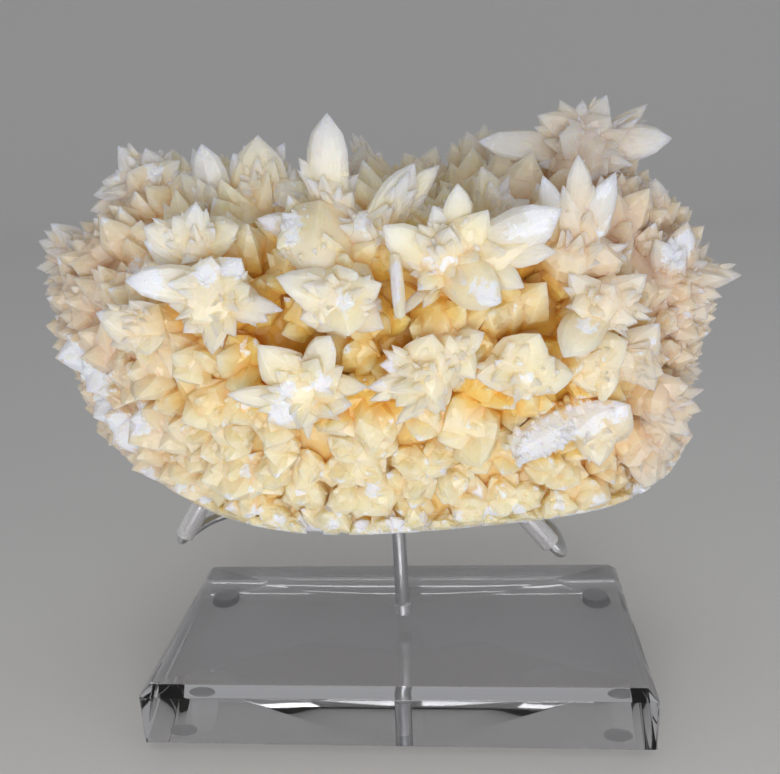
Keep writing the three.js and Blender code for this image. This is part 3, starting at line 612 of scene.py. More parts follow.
# The UV map: turns round a piece and millimetres along it.
def setGrain(mesh, uv):
    mesh.uv_layers.new(name="grain").uv.foreach_set("vector", uv.astype(np.float32).ravel())


# One mesh from stacks of closed rings. The attributes travel through the join:
# along is 0 at a crystal's root and 1 at its tip, tone its own random number, kind its sort.
def meshOfStacks(name, chosen):
    places, corners, sizes, level, tone, kind, grain = ([] for column in range(7))
    offset = 0
    for batch, members in chosen:
        cornerList, sizeList, around = batch["topology"]
        perCrystal = batch["places"].shape[1]
        count = len(members)
        shift = offset + np.arange(count)[:, None] * perCrystal
        cornerLevel = np.tile(batch["level"][cornerList], count)
        lengths = np.repeat(batch["length"][members], len(cornerList))
        places.append(batch["places"][members].reshape(-1, 3))
        corners.append((cornerList[None] + shift).reshape(-1))
        sizes.append(np.tile(sizeList, count))
        level.append(cornerLevel)
        tone.append(np.repeat(scatter(batch["seeds"][members], 50), len(sizeList)))
        kind.append(np.full(count * len(sizeList), batch["kind"]))
        grain.append(np.stack([np.tile(around, count), cornerLevel * lengths], -1))
        offset += count * perCrystal
    places, corners, sizes = map(np.concatenate, (places, corners, sizes))
    mesh = bpy.data.meshes.new(name)
    mesh.vertices.add(len(places))
    mesh.vertices.foreach_set("co", toFrame(places).astype(np.float32).ravel())
    mesh.loops.add(len(corners))
    mesh.loops.foreach_set("vertex_index", corners.astype(np.int32))
    mesh.polygons.add(len(sizes))
    mesh.polygons.foreach_set("loop_start", (np.cumsum(sizes) - sizes).astype(np.int32))
    mesh.update(calc_edges=True)
    for title, domain, values in (("along", "CORNER", level), ("tone", "FACE", tone), ("kind", "FACE", kind)):
        setAttribute(mesh, title, domain, np.concatenate(values))
    setGrain(mesh, np.concatenate(grain))
    return bpy.data.objects.new(name, mesh)


# The loaf is a grid of turn and rise, closed with a fan at the crown and one over the flat cut.
def loafMesh(turns=96, rises=28):
    riseRow = np.concatenate([riseAtHeight(np.linspace(0.0, 0.93, rises - 10)),
                              riseAtReach(np.linspace(0.72, 0.06, 10))])
    turn, rise = np.meshgrid(circleAngles(turns), riseRow)
    ring = loafPoint(turn, rise, np.where(rise > 0, loaf["underCrystals"], 0.0))
    return plainStack(np.concatenate([ring.reshape(-1, 3), loafOrigin[None],
                                      loafPoint(np.zeros(1), np.ones(1), loaf["underCrystals"])]),
                      turns, rises, 3)


# A batch of one stack that isn't a crystal.
def plainStack(places, sides, rings, seed):
    return {
        "places": places[None], "topology": stackTopology(sides, rings), "level": np.full(len(places), 0.1),
        "length": np.array([20.0]), "seeds": np.array([seed]), "kind": 0.0,
    }


crystals.append(loafMesh())

print("sorting the crystals into groups that don't touch")
owner = [(b, i) for b, batch in enumerate(crystals) for i in range(len(batch["places"]))]
centres = np.array([(crystals[b]["places"][i].min(0) + crystals[b]["places"][i].max(0)) / 2
                    for b, i in owner])
reaches = np.array([np.linalg.norm(crystals[b]["places"][i] - centres[n], axis=1).max()
                    for n, (b, i) in enumerate(owner)])
groups = []
for n in np.argsort(-reaches):
    for group in groups:
        mates = np.array(group)
        if (np.linalg.norm(centres[mates] - centres[n], axis=1) > reaches[mates] + reaches[n]).all():
            group.append(int(n))
            break
    else:
        groups.append([int(n)])
print("groups", len(groups), "crystals", len(owner))

scene = bpy.context.scene
scene.view_settings.view_transform = "Standard"


def addObject(name, data):
    thing = bpy.data.objects.new(name, data)
    scene.collection.objects.link(thing)
    return thing


def addPiece(name, places, faces):
    mesh = bpy.data.meshes.new(name)
    mesh.from_pydata(places.tolist(), [], faces)
    return addObject(name, mesh)


# Smooth shading, but for edges that turn by more than the given degrees.
def shadeSmooth(mesh, degrees):
    mesh.polygons.foreach_set("use_smooth", np.ones(len(mesh.polygons), bool))
    mesh.set_sharp_from_angle(angle=math.radians(degrees))


others = bpy.data.collections.new("crystalGroups")
scene.collection.children.link(others)
pieces = []
for number, group in enumerate(groups):
    members = [[owner[n][1] for n in group if owner[n][0] == b] for b in range(len(crystals))]
    chosen = [(batch, np.array(mine)) for batch, mine in zip(crystals, members) if mine]
    pieces.append(meshOfStacks("group%d" % number, chosen))
scene.collection.objects.link(pieces[0])
for piece in pieces[1:]:
    others.objects.link(piece)


# What the saw and the trimmed rim leave: a bowl with the flat cut as its floor. Each ring is the loaf's own
# outline, drawn up along bodyUp by the first number and pushed outward by the second.
# Each trim draws the bowl in by its third number, around the turn and within the spread of the first two.
sawnBowl = {"turns": 120, "rings": ((0, 1.5), (1.5, 2.8), (5, 4.8), (11, 9), (18, 16), (30, 34), (200, 240)),
            "trims": ((222, 22, 4.0), (292, 20, 2.2), (332, 14, 2.2))}


# A ring is edge + bodyUp * height + outward * (push - sum of the trims' bell curves).
def bowlMesh():
    turn = circleAngles(sawnBowl["turns"])
    edge = barePoint(turn, np.zeros_like(turn))
    outward = bareNormal(turn, np.full_like(turn, 0.02))
    outward = unit(outward - (outward @ offCut)[:, None] * offCut)
    drawnIn = sum(depth * np.exp(-((np.degrees(turn) - at) / spread) ** 2)
                  for at, spread, depth in sawnBowl["trims"])
    rings = [edge + bodyUp * height + outward * (push - drawnIn)[:, None]
             for height, push in sawnBowl["rings"]]
    ends = np.stack([loafOrigin, loafOrigin + bodyUp * sawnBowl["rings"][-1][0]])
    return plainStack(np.concatenate(rings + [ends]), sawnBowl["turns"], len(rings), 4)


bowl = meshOfStacks("bowl", [(bowlMesh(), np.array([0]))])
scene.collection.objects.link(bowl)


# Joins, cuts or keeps what is common to closed meshes.
def addBoolean(piece, operation, **what):
    modifier = piece.modifiers.new(operation.lower(), "BOOLEAN")
    modifier.operation = operation
    modifier.solver = "MANIFOLD"
    for name, value in what.items():
        setattr(modifier, name, value)


# The mesh that a piece's modifiers give.
def builtMesh(piece):
    return bpy.data.meshes.new_from_object(piece.evaluated_get(bpy.context.evaluated_depsgraph_get()))


print("growing the crystals together")
addBoolean(pieces[0], "UNION", operand_type="COLLECTION", collection=others)
addBoolean(pieces[0], "INTERSECT", object=bowl)
grown = builtMesh(pieces[0])
grown.name = "calcite"
for piece in pieces + [bowl]:
    bpy.data.objects.remove(piece)
bpy.data.collections.remove(others)
calcite = addObject("calcite", grown)
print("calcite", len(grown.vertices), "vertices", len(grown.polygons), "faces",
      sum(len(p.vertices) - 2 for p in grown.polygons), "triangles")

# Kept inside the solid model's box.
places = np.zeros(len(grown.vertices) * 3, np.float32)
grown.vertices.foreach_get("co", places)
places = places.reshape(-1, 3)
boxLow, boxHigh = np.array(cadBox[0]) + 5e-5, np.array(cadBox[1]) - 5e-5
outside = np.abs(np.clip(places, boxLow, boxHigh) - places).max(1)
print("vertices held inside the box", int((outside > 0).sum()), "furthest", float(outside.max()) * 1000, "mm")
places = np.clip(places, boxLow, boxHigh)
grown.vertices.foreach_set("co", places.ravel())

# How far a point stands out from the bare loaf, in millimetres: the nearest sample's outward direction.
turnGrid, riseGrid = np.meshgrid(circleAngles(90), np.linspace(0.02, 0.98, 28))
samplePlace = toFrame(loafPoint(turnGrid, riseGrid).reshape(-1, 3)) * 1000
sampleOut = bareNormal(turnGrid, riseGrid).reshape(-1, 3)
nearestSample = np.zeros(len(places), int)
for start in range(0, len(places), 4000):
    part = places[start:start + 4000].astype(float) * 1000
    apart = (part ** 2).sum(1)[:, None] - 2 * part @ samplePlace.T + (samplePlace ** 2).sum(1)
    nearestSample[start:start + 4000] = apart.argmin(1)
standOut = ((places.astype(float) * 1000 - samplePlace[nearestSample]) * sampleOut[nearestSample]).sum(1)

# How deep a point lies between the crystals: the furthest that any point near it stands out, less its own.
# Near means within the reach below, measured along the samples.
creviceReach = 9.0
furthest = np.full(len(samplePlace), -5.0)
np.maximum.at(furthest, nearestSample, standOut)
squaredGap = ((samplePlace[:, None] - samplePlace[None]) ** 2).sum(-1)
weight = np.exp(-squaredGap / (2 * (creviceReach / 2) ** 2))
nearHigh = (weight * furthest).sum(1) / weight.sum(1)
depth = nearHigh[nearestSample] - standOut
# The material paints honey and shade by this depth: partly the calcite's own colour, partly painted shade in
# the crevices.
setAttribute(grown, "depth", "POINT", depth)
print("depth between the crystals", np.percentile(depth, (5, 25, 50, 75, 95)).round(1))
shadeSmooth(grown, 24)
grown.update()
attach(calcite, "root")
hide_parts("calcite_cluster")

# Patches of sugary white grains: where each is seen in the photograph, in pixels, and its radius there.
frostPatches = {
    "slab": ((530, 447, 22), (555, 435, 26), (583, 418, 22)),
    "greatFoot": ((484, 292, 15), (492, 300, 9)),
    "greatLeaf": ((512, 232, 13), (540, 218, 17)),
    "frostLeft": ((231, 262, 19), (205, 275, 12)),
    "leftScales": ((143, 281, 20), (135, 268, 10)),
    "frontBlock": ((266, 222, 11), (288, 222, 14), (292, 238, 10)),
    "upright": ((395, 268, 6), (395, 285, 6), (395, 305, 6)),
    "rightEdge": ((678, 252, 19), (690, 240, 9)),
    "rightMiddle": ((590, 326, 11),),
    "topLeft": ((157, 174, 9), (120, 175, 6), (150, 165, 6)),
    "rightTall": ((604, 190, 8), (600, 235, 7)),
    "rightSmall": ((654, 342, 6),),
    "leftRim": ((66, 345, 16), (80, 366, 19), (92, 385, 20), (104, 405, 19), (118, 426, 17), (132, 446, 14)),
    "leftDiagonal": ((140, 418, 17),),
    "heart": ((345, 302, 10), (418, 290, 7)),
    "lowLeft": ((283, 412, 16), (289, 390, 10), (320, 385, 12)),
    "lowMiddle": ((387, 365, 8), (375, 385, 7)),
    "slabEnd": ((615, 413, 14),),
    "bottomRim": ((150, 474, 8), (180, 486, 8), (205, 497, 9), (230, 507, 8), (255, 515, 9), (280, 520, 8),
                  (305, 522, 9), (332, 524, 8), (360, 524, 9), (395, 521, 11), (425, 517, 8), (455, 515, 8),
                  (490, 512, 9), (520, 510, 8), (560, 506, 8), (600, 500, 9), (640, 488, 9)),
    "lowBand": ((247, 470, 8), (372, 488, 10), (330, 508, 7), (445, 470, 7), (480, 495, 8), (560, 490, 8)),
    "flecks": ((222, 427, 4), (392, 422, 4), (468, 427, 4), (250, 455, 4), (358, 361, 4), (450, 192, 6)),
}
sugar = {"grains": 9000, "size": (0.2, 0.45), "sunk": -0.05, "fromFrost": 0.35, "patchEdge": 1.3,
         "patchFade": 0.7, "rimHeight": 6.0, "rimFrost": (0.55, 1.0), "sawnWithin": 1e-4}


# Frost is 1 in the middle of a patch and fades to 0 past its edge. A patch's middle is where the line of
# sight through its pixel meets the crystals, and its radius is distance / lens * pixels.
def frostOnPoints(places):
    tree = BVHTree.FromPolygons([Vector(v) for v in places], [tuple(p.vertices) for p in grown.polygons])
    right, up, ahead = cameraAxes()
    eye = Vector(toFrame(cameraSetup["place"]))
    middleX, middleY = cameraSetup["photoMiddle"]
    frost = np.zeros(len(places))
    for pixelX, pixelY, pixelRadius in sum(frostPatches.values(), ()):
        sight = ahead * cameraSetup["lensPixels"] + right * (pixelX - middleX) - up * (pixelY - middleY)
        hit, normal, face, distance = tree.ray_cast(eye, sight.normalized())
        if hit is not None:
            radius = distance / cameraSetup["lensPixels"] * pixelRadius
            away = np.linalg.norm(places - np.array(hit), axis=1) / radius
            frost = np.maximum(frost, np.clip((sugar["patchEdge"] - away) / sugar["patchFade"], 0, 1))
    # The rim is white and sugary just above the cut.
    above = (places - toFrame(loafOrigin)) @ offCut * 1000
    strips = np.round(places[:, 0] * 90)
    nearCut = np.clip(1 - above / sugar["rimHeight"], 0, 1) * ranged(*sugar["rimFrost"], strips, 67)
    return np.maximum(frost, nearCut)


frost = frostOnPoints(places.astype(float))
centres = np.zeros(len(grown.polygons) * 3, np.float32)
grown.polygons.foreach_get("center", centres)
sawnFace = (centres.reshape(-1, 3) - toFrame(loafOrigin)) @ offCut < sugar["sawnWithin"]
setAttribute(grown, "sawn", "FACE", sawnFace)
setAttribute(grown, "frost", "POINT", frost)
print("sawn faces", int(sawnFace.sum()), "points under frost", int((frost > 0.3).sum()))


# Sugar grains: small eight-sided crystals strewn over the frosted faces, more where a face is larger. Each
# lies at a random point of a triangle: first + (second - first) * one + (third - first) * two.
def sugarGrains():
    grown.calc_loop_triangles()
    corner = np.zeros(len(grown.loop_triangles) * 3, np.int32)
    grown.loop_triangles.foreach_get("vertices", corner)
    corner = corner.reshape(-1, 3)
    first, second, third = (places[corner[:, k]].astype(float) for k in range(3))
    normal = np.cross(second - first, third - first)
    weight = np.linalg.norm(normal, axis=1) * np.clip(frost[corner].mean(1) - sugar["fromFrost"], 0, 1)
    chance = np.cumsum(weight) / weight.sum()
    number = np.arange(sugar["grains"])
    face = np.searchsorted(chance, (number + 0.5) / len(number))
    one, two = scatter(number, 61), scatter(number, 62)
    flip = one + two > 1
    one, two = np.where(flip, 1 - one, one), np.where(flip, 1 - two, two)
    out = unit(normal[face])
    size = blend(*sugar["size"], scatter(number, 63) ** 2) / 1000
    spot = first[face] + (second - first)[face] * one[:, None] + (third - first)[face] * two[:, None]
    spot = spot + out * (size * sugar["sunk"])[:, None]
    turn = np.stack([scatter(number, k) * 2 - 1 for k in (64, 65, 66)], -1)
    across = unit(np.cross(out, turn))
    deep = unit(np.cross(turn, across))
    axes = np.stack([across, deep, np.cross(across, deep)], 1)
    corners = np.concatenate([axes, -axes], 1) * size[:, None, None] * 0.5
    octahedron = np.array([(0, 1, 2), (1, 3, 2), (3, 4, 2), (4, 0, 2),
                           (1, 0, 5), (3, 1, 5), (4, 3, 5), (0, 4, 5)])
    faces = (octahedron[None] + np.arange(len(number))[:, None, None] * 6).reshape(-1, 3)
    piece = addPiece("sugarGrains", np.clip((spot[:, None] + corners).reshape(-1, 3), boxLow, boxHigh),
                     faces.tolist())
    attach(piece, "root")
    print("sugar grains", len(number))
    return piece


sugarPiece = sugarGrains()


# Materials. Inputs of a node are given by name or number, as plain values or as other nodes' outputs.
def fill(node, inputs):
    for key, value in inputs.items():
        if isinstance(value, bpy.types.NodeSocket):
            node.id_data.links.new(value, node.inputs[key])
        else:
            node.inputs[key].default_value = value


# A node with its settings and inputs.
def addNode(tree, kind, inputs, **settings):
    node = tree.nodes.new(kind)
    for key, value in settings.items():
        setattr(node, key, value)
    fill(node, inputs)
    return node


# A material with its node tree and its shader.
def newMaterial(name):
    material = bpy.data.materials.new(name)
    material.use_nodes = True
    return material, material.node_tree, material.node_tree.nodes["Principled BSDF"]


def attribute(tree, name):
    return addNode(tree, "ShaderNodeAttribute", {}, attribute_name=name).outputs["Fac"]


def objectPlace(tree):
    return addNode(tree, "ShaderNodeTexCoord", {}).outputs["Object"]


def grainPlace(tree):
    return addNode(tree, "ShaderNodeUVMap", {}, uv_map="grain").outputs["UV"]


# A value brought from one range into another, eased at both ends.
def spread(source, fromLow, fromHigh, toLow=0.0, toHigh=1.0):
    return addNode(source.id_data, "ShaderNodeMapRange", {
        "From Min": fromLow, "From Max": fromHigh, "To Min": toLow, "To Max": toHigh, "Value": source,
    }, interpolation_type="SMOOTHSTEP").outputs["Result"]


# One times (1 - share), plus two times share.
def mixed(share, one, two):
    return addNode(share.id_data, "ShaderNodeMix", {0: share, 6: one, 7: two}, data_type="RGBA").outputs[2]


# The operation on the first two values, then on its result and the next value, and so on.
def computed(operation, first, *others):
    tree = next(value.id_data for value in (first, *others) if isinstance(value, bpy.types.NodeSocket))
    for value in others:
        first = addNode(tree, "ShaderNodeMath", {0: first, 1: value}, operation=operation).outputs[0]
    return first


def plus(*values):
    return computed("ADD", *values)


def minus(one, two):
    return computed("SUBTRACT", one, two)


def times(*values):
    return computed("MULTIPLY", *values)


# Raises or lowers a surface by a height that changes over it, in metres.
def bumped(height, strength, distance):
    return addNode(height.id_data, "ShaderNodeBump", {
        "Strength": strength, "Distance": distance, "Height": height,
    }).outputs["Normal"]


# Cloudy values round 0.5; scale is how many to the metre.
def noise(vector, scale, detail=3.0, roughness=0.6):
    return addNode(vector.id_data, "ShaderNodeTexNoise", {
        "Vector": vector, "Scale": scale, "Detail": detail, "Roughness": roughness,
    }).outputs["Fac"]


# A place times a factor for each axis.
def scaled(vector, factors):
    return addNode(vector.id_data, "ShaderNodeMapping", {"Scale": factors, "Vector": vector},
                   vector_type="POINT").outputs["Vector"]


# Shades run from the outermost crystals to the deepest: the colour and the depths over which it takes over,
# in millimetres.
# The deeper ones are partly the calcite's own honey and partly painted shade in the crevices. The painted
# peach and high shade and the tip places are in metres.
calciteLook = {
    "pale": (0.93, 0.8, 0.555, 1),
    "shades": {
        # Deeper colours: partly the calcite's own honey, partly painted shade in the crevices.
        "body": ((0.91, 0.67, 0.32, 1), 1.5, 9.0),
        "honeyAndShade": ((0.95, 0.59, 0.12, 1), 6.0, 13.0),
        "deepHoneyAndShade": ((0.76, 0.41, 0.05, 1), 12.0, 19.0),
    },
    "cloud": {"perMetre": 70.0, "deeper": 9.0, "rougher": 0.25},
    "toneDeeper": 3.0,
    # Painted shade: a band of darker honey between the low crystals and the sprays.
    "creviceShadeBand": {"height": 0.108, "spread": 0.009, "deeper": 4.0},
    "palerOfKind": (0.6, 1.0, 0.0, -3.0),
    # Painted shade: a dimmer peach over the ends and the back.
    "peach": (0.75, 0.56, 0.44, 1),
    "peachShare": 0.75,
    "peachLeft": (0.03, 0.085),
    "peachRight": (0.055, 0.095),
    "peachShoulder": (0.12, 0.16, 0.0, 0.025),
    "peachBack": (-0.01, 0.04, 0.0, 0.6),
    "tip": (0.78, 0.78, 0.78, 1),
    "tipAlong": (0.25, 0.9),
    "tipToneShift": 0.25,
    "tipOfKind": (0.3, 1.0, 0.1, 0.95),
    "tipOfTone": (0.0, 0.7, 0.35, 1.0),
    "tipOfHeight": (0.12, 0.165, 0.35, 1.0),
    # Painted shade: the highest crystals are dimmer.
    "high": (0.66, 0.61, 0.57, 1),
    "highShadeShare": 0.5,
    "highShadeFrom": (0.15, 0.185),
    "highShadeAcross": (-0.04, 0.03, 0.4, 1.0),
    "frost": (0.97, 0.97, 1.0, 1),
    "frostEdge": (0.35, 0.75),
    "frostRagged": 1.4,
    "raggedPerMetre": 420.0,
    "tipFrostAlong": (0.72, 1.0),
    "tipFrostOfTone": (0.55, 0.95, 0.0, 0.75),
    "sawn": (0.82, 0.7, 0.46, 1),
    "sawMark": (0.88, 0.8, 0.62, 1),
    "sawMarksPerMetre": (14.0, 420.0, 420.0),
    "roughness": 0.4,
    "frostRoughness": 0.6,
    "linesPerTurnAndLength": (34.0, 0.12, 1.0),
    "linesOfKind": (0.3, 1.0, 0.3, 1.0),
    "reliefDepth": 0.00025,
    "pebblesPerMetre": 1500.0,
    "facetsPerMetre": 420.0,
    "facetTilt": 0.5,
    "facetsOfKind": (0.4, 1.0, 1.0, 0.45),
    "glow": 0.8,
    "glowDepth": 0.009,
    "glowSpread": (1.0, 0.79, 0.43),
    "ior": 1.56,
}


# Small flat faces, each tilted its own way: the height in metres is the way from the cell's middle, times
# the cell's random direction, times the tilt.
def facetHeight(tree, place):
    cells = addNode(tree, "ShaderNodeTexVoronoi", {"Scale": calciteLook["facetsPerMetre"], "Vector": place})
    fromMiddle, direction = (
        addNode(tree, "ShaderNodeVectorMath", {0: one, 1: two}, operation="SUBTRACT").outputs["Vector"]
        for one, two in ((place, cells.outputs["Position"]), (cells.outputs["Color"], (0.5, 0.5, 0.5))))
    along = addNode(tree, "ShaderNodeVectorMath", {0: fromMiddle, 1: direction}, operation="DOT_PRODUCT")
    return times(along.outputs["Value"], calciteLook["facetTilt"])


# The colour starts pale and is mixed, share by share, with what lies deeper, higher or whiter; much of the
# deeper and higher mixing is painted shade.
def calciteMaterial():
    material, tree, shader = newMaterial("calciteHoney")
    look, band, clouds = calciteLook, calciteLook["creviceShadeBand"], calciteLook["cloud"]
    along, depth, tone, kind, frost, sawn = (attribute(tree, name)
                                             for name in ("along", "depth", "tone", "kind", "frost", "sawn"))
    place = objectPlace(tree)
    x, y, z = addNode(tree, "ShaderNodeSeparateXYZ", {0: place}).outputs
    cloud = minus(noise(place, clouds["perMetre"], 2.0), 0.5)
    ownTone = minus(tone, 0.5)

    # Honey in the crevices, paler outward: partly the calcite's own colour, partly painted shade that darkens
    # the deeper a point lies between the crystals.
    # The painted shade lies deeper in a band between the low crystals and the sprays.
    offBand = computed("ABSOLUTE", minus(z, band["height"]), 0.0)
    creviceShadeDepth = plus(depth, times(cloud, clouds["deeper"]),
                  spread(offBand, band["spread"], 0.0, 0.0, band["deeper"]),
                  spread(kind, *look["palerOfKind"]), times(ownTone, look["toneDeeper"]))
    colour = look["pale"]
    for shade, fromDepth, toDepth in look["shades"].values():
        colour = mixed(spread(creviceShadeDepth, fromDepth, toDepth), colour, shade)

    # Painted shade: the left end, the right end and the back are darkened to a dimmer peach.
    shaded = computed("MAXIMUM", spread(times(x, -1.0), *look["peachLeft"]),
                      spread(plus(x, spread(z, *look["peachShoulder"])), *look["peachRight"]),
                      spread(y, *look["peachBack"]))
    colour = mixed(times(shaded, look["peachShare"]), colour, look["peach"])

    # Large crystals turn clear grey white towards their tips. Painted shade: the highest crystals are
    # darkened to a dimmer grey.
    shifted = plus(along, times(ownTone, look["tipToneShift"]))
    tipShare = times(spread(shifted, *look["tipAlong"]), spread(kind, *look["tipOfKind"]),
                     spread(tone, *look["tipOfTone"]), spread(z, *look["tipOfHeight"]))
    colour = mixed(tipShare, colour, look["tip"])
    highShade = times(spread(z, *look["highShadeFrom"]), look["highShadeShare"], spread(x, *look["highShadeAcross"]))
    colour = mixed(highShade, colour, look["high"])

    # Sugary frost with a ragged edge, and a little on many tips.
    ragged = minus(noise(place, look["raggedPerMetre"], 2.0, 0.75), 0.5)
    tipFrost = times(spread(along, *look["tipFrostAlong"]), spread(tone, *look["tipFrostOfTone"]))
    frosted = plus(computed("MAXIMUM", frost, tipFrost), times(ragged, look["frostRagged"]))
    frosted = times(spread(frosted, *look["frostEdge"]), minus(1.0, sawn))
    colour = mixed(frosted, colour, look["frost"])

    # The flat cut shows faint marks of the saw.
    marks = noise(scaled(place, look["sawMarksPerMetre"]), 1.0, 2.0)
    colour = mixed(sawn, colour, mixed(marks, look["sawn"], look["sawMark"]))

    # Fine growth lines along each crystal, grains where it is frosted, and small facets.
    lines = noise(scaled(grainPlace(tree), look["linesPerTurnAndLength"]), 1.0, 2.0, 0.6)
    lines = times(lines, spread(kind, *look["linesOfKind"]))
    pebbled = times(noise(place, look["pebblesPerMetre"], 1.0), times(frost, 0.8))
    relief = times(plus(times(lines, 0.8), pebbled), look["reliefDepth"])
    facets = times(facetHeight(tree, place), spread(kind, *look["facetsOfKind"]))
    fill(shader, {
        "Base Color": colour,
        "Roughness": plus(times(frosted, look["frostRoughness"] - look["roughness"]),
                          times(cloud, clouds["rougher"]), look["roughness"]),
        "Normal": bumped(plus(relief, facets), 1.0, 1.0),
        "IOR": look["ior"],
        "Subsurface Weight": look["glow"],
        "Subsurface Radius": look["glowSpread"],
        "Subsurface Scale": look["glowDepth"],
    })
    return material


sugarLook = {"colour": (0.99, 0.99, 1.0, 1), "dim": (0.95, 0.95, 0.98, 1), "roughness": 0.25}


# White grains, a little uneven from one to the next.
def sugarMaterial():
    material, tree, shader = newMaterial("calciteSugar")
    fill(shader, {
        "Base Color": mixed(noise(objectPlace(tree), 900.0), sugarLook["dim"], sugarLook["colour"]),
        "Roughness": sugarLook["roughness"],
        "IOR": calciteLook["ior"],
    })
    return material


grown.materials.clear()
grown.materials.append(calciteMaterial())
sugarPiece.data.materials.append(sugarMaterial())
print("calcite has its materials")

# The clear block under everything, its four bumpers, the steel post and arms, and the clear sleeves.
block = {
    "bottom": 3.0, "height": 19.05, "length": 152.4, "depth": 76.2, "bevel": 2.84,
    "cornerRadius": 0.8, "edgeRadius": 0.22, "holeRadius": 2.75, "holeDepth": 9.0, "postY": 10.5,
    "padRadius": 4.2, "padDepth": 0.05,
}
bumperSetup = {
    "radius": 4.75, "height": 2.7, "x": 65.5, "y": 28.0,
    "profile": ((0.82, 0.0), (0.86, 0.005), (0.97, 0.07), (1.0, 0.14), (0.995, 0.22), (0.915, 0.9),
                (0.89, 0.97), (0.85, 1.0)),
}
# The upright pieces: name, radius, bottom and top. All have the same chamfer.
uprights = {"post": ("postRod", 2.38, 13.35, 50.5), "hub": ("hubCollar", 4.2, 50.8, 56.8)}
uprightChamfer = 0.3
armSetup = {
    "rodRadius": 1.6, "tipRound": 0.45, "step": 1.0, "bendSoft": 1.2, "sides": 24,
    "sleeveOuter": 3.18, "sleeveInner": 1.72, "sleeveRound": 0.22, "sleeveSides": 32,
    "paths": {
        "left": ((-5, 11, 54), (-26, 17.5, 54.5), (-48, 19, 54.4), (-63, 11, 53.8), (-69.4, -1, 53),
                 (-69.4, -4.6, 53.8)),
        "right": ((5, 11, 54), (22, 18, 52.6), (40, 20.5, 50.6), (50, 13, 49), (52.6, -1, 47.4),
                  (51.6, -4.6, 48.2)),
        "back": ((0, 15.1, 54), (0, 30, 55.5), (0, 45, 60), (0, 54, 68), (0, 56.5, 76), (0, 55.5, 79)),
    },
    "tips": {"left": (-61, -3, 66.6), "right": (37, -4, 66.2), "back": (0, 50, 90.6)},
    "sleeveShare": {"left": (0.16, 0.98), "right": (0.2, 0.98), "back": (0.1, 0.98)},
}


# A mesh from rings of equal count, closed by a fan at both ends or joined end to end into a ring.
# rings is rows by columns by xyz, in millimetres; the UV map runs round in turns and along in millimetres.
def ringPiece(name, rings, looped=False, smoothAngle=35):
    rows, sides = rings.shape[:2]
    side = np.arange(sides)
    after = (side + 1) % sides
    row = np.arange(rows if looped else rows - 1)[:, None]
    above = (row + 1) % rows
    quads = [row * sides + side, row * sides + after, above * sides + after, above * sides + side]
    ringPlaces = rings.reshape(-1, 3)
    faces = np.stack(quads, -1).reshape(-1, 4).tolist()
    steps = np.linalg.norm(np.diff(rings.mean(1), axis=0), axis=1)
    along = np.concatenate([[0], np.cumsum(steps)])
    share = np.stack([side, side + 1, side + 1, side], -1) / sides
    uvAlong = np.stack([along[level.ravel()] for level in (row, row, above, above)], -1)
    uv = np.stack([np.broadcast_to(share[None], (len(row), sides, 4)),
                   np.broadcast_to(uvAlong[:, None], (len(row), sides, 4))], -1).reshape(-1, 2)
    if not looped:
        ringPlaces = np.concatenate([ringPlaces, rings[0].mean(0)[None], rings[-1].mean(0)[None]])
        start, end = rows * sides, rows * sides + 1
        last = (rows - 1) * sides
        faces += np.stack([np.full(sides, start), after, side], -1).tolist()
        faces += np.stack([np.full(sides, end), last + side, last + after], -1).tolist()
        uv = np.concatenate([uv, np.zeros((sides * 6, 2))])
    piece = addPiece(name, toFrame(ringPlaces), faces)
    setGrain(piece.data, uv)
    shadeSmooth(piece.data, smoothAngle)
    return piece


# Rings of a turned piece: radius and height pairs swept round an upright axis.
def turnedRings(profile, centre, sides=48):
    angle = circleAngles(sides)
    profile = np.asarray(profile, float)
    return np.stack([centre[0] + profile[:, :1] * np.cos(angle), centre[1] + profile[:, :1] * np.sin(angle),
                     np.repeat(profile[:, 1:], sides, 1)], -1)


# A rectangle with quarter-circle corners, the same count of points at any inset.
def roundedRectangle(inset, z, arcPoints=5):
    radius = block["cornerRadius"]
    quarter = np.linspace(0, math.pi / 2, arcPoints)
    angle = (quarter + np.arange(4)[:, None] * math.pi / 2).ravel()
    x = np.repeat([1, -1, -1, 1], arcPoints) * (block["length"] / 2 - inset - radius) + radius * np.cos(angle)
    y = np.repeat([1, 1, -1, -1], arcPoints) * (block["depth"] / 2 - inset - radius) + radius * np.sin(angle)
    return np.stack([x, y, np.full(len(x), z)], -1)


bumperPlaces = {
    depthName + "_" + sideName: (xSign * bumperSetup["x"], ySign * bumperSetup["y"])
    for depthName, ySign in (("front", -1), ("back", 1)) for sideName, xSign in (("left", -1), ("right", 1))
}


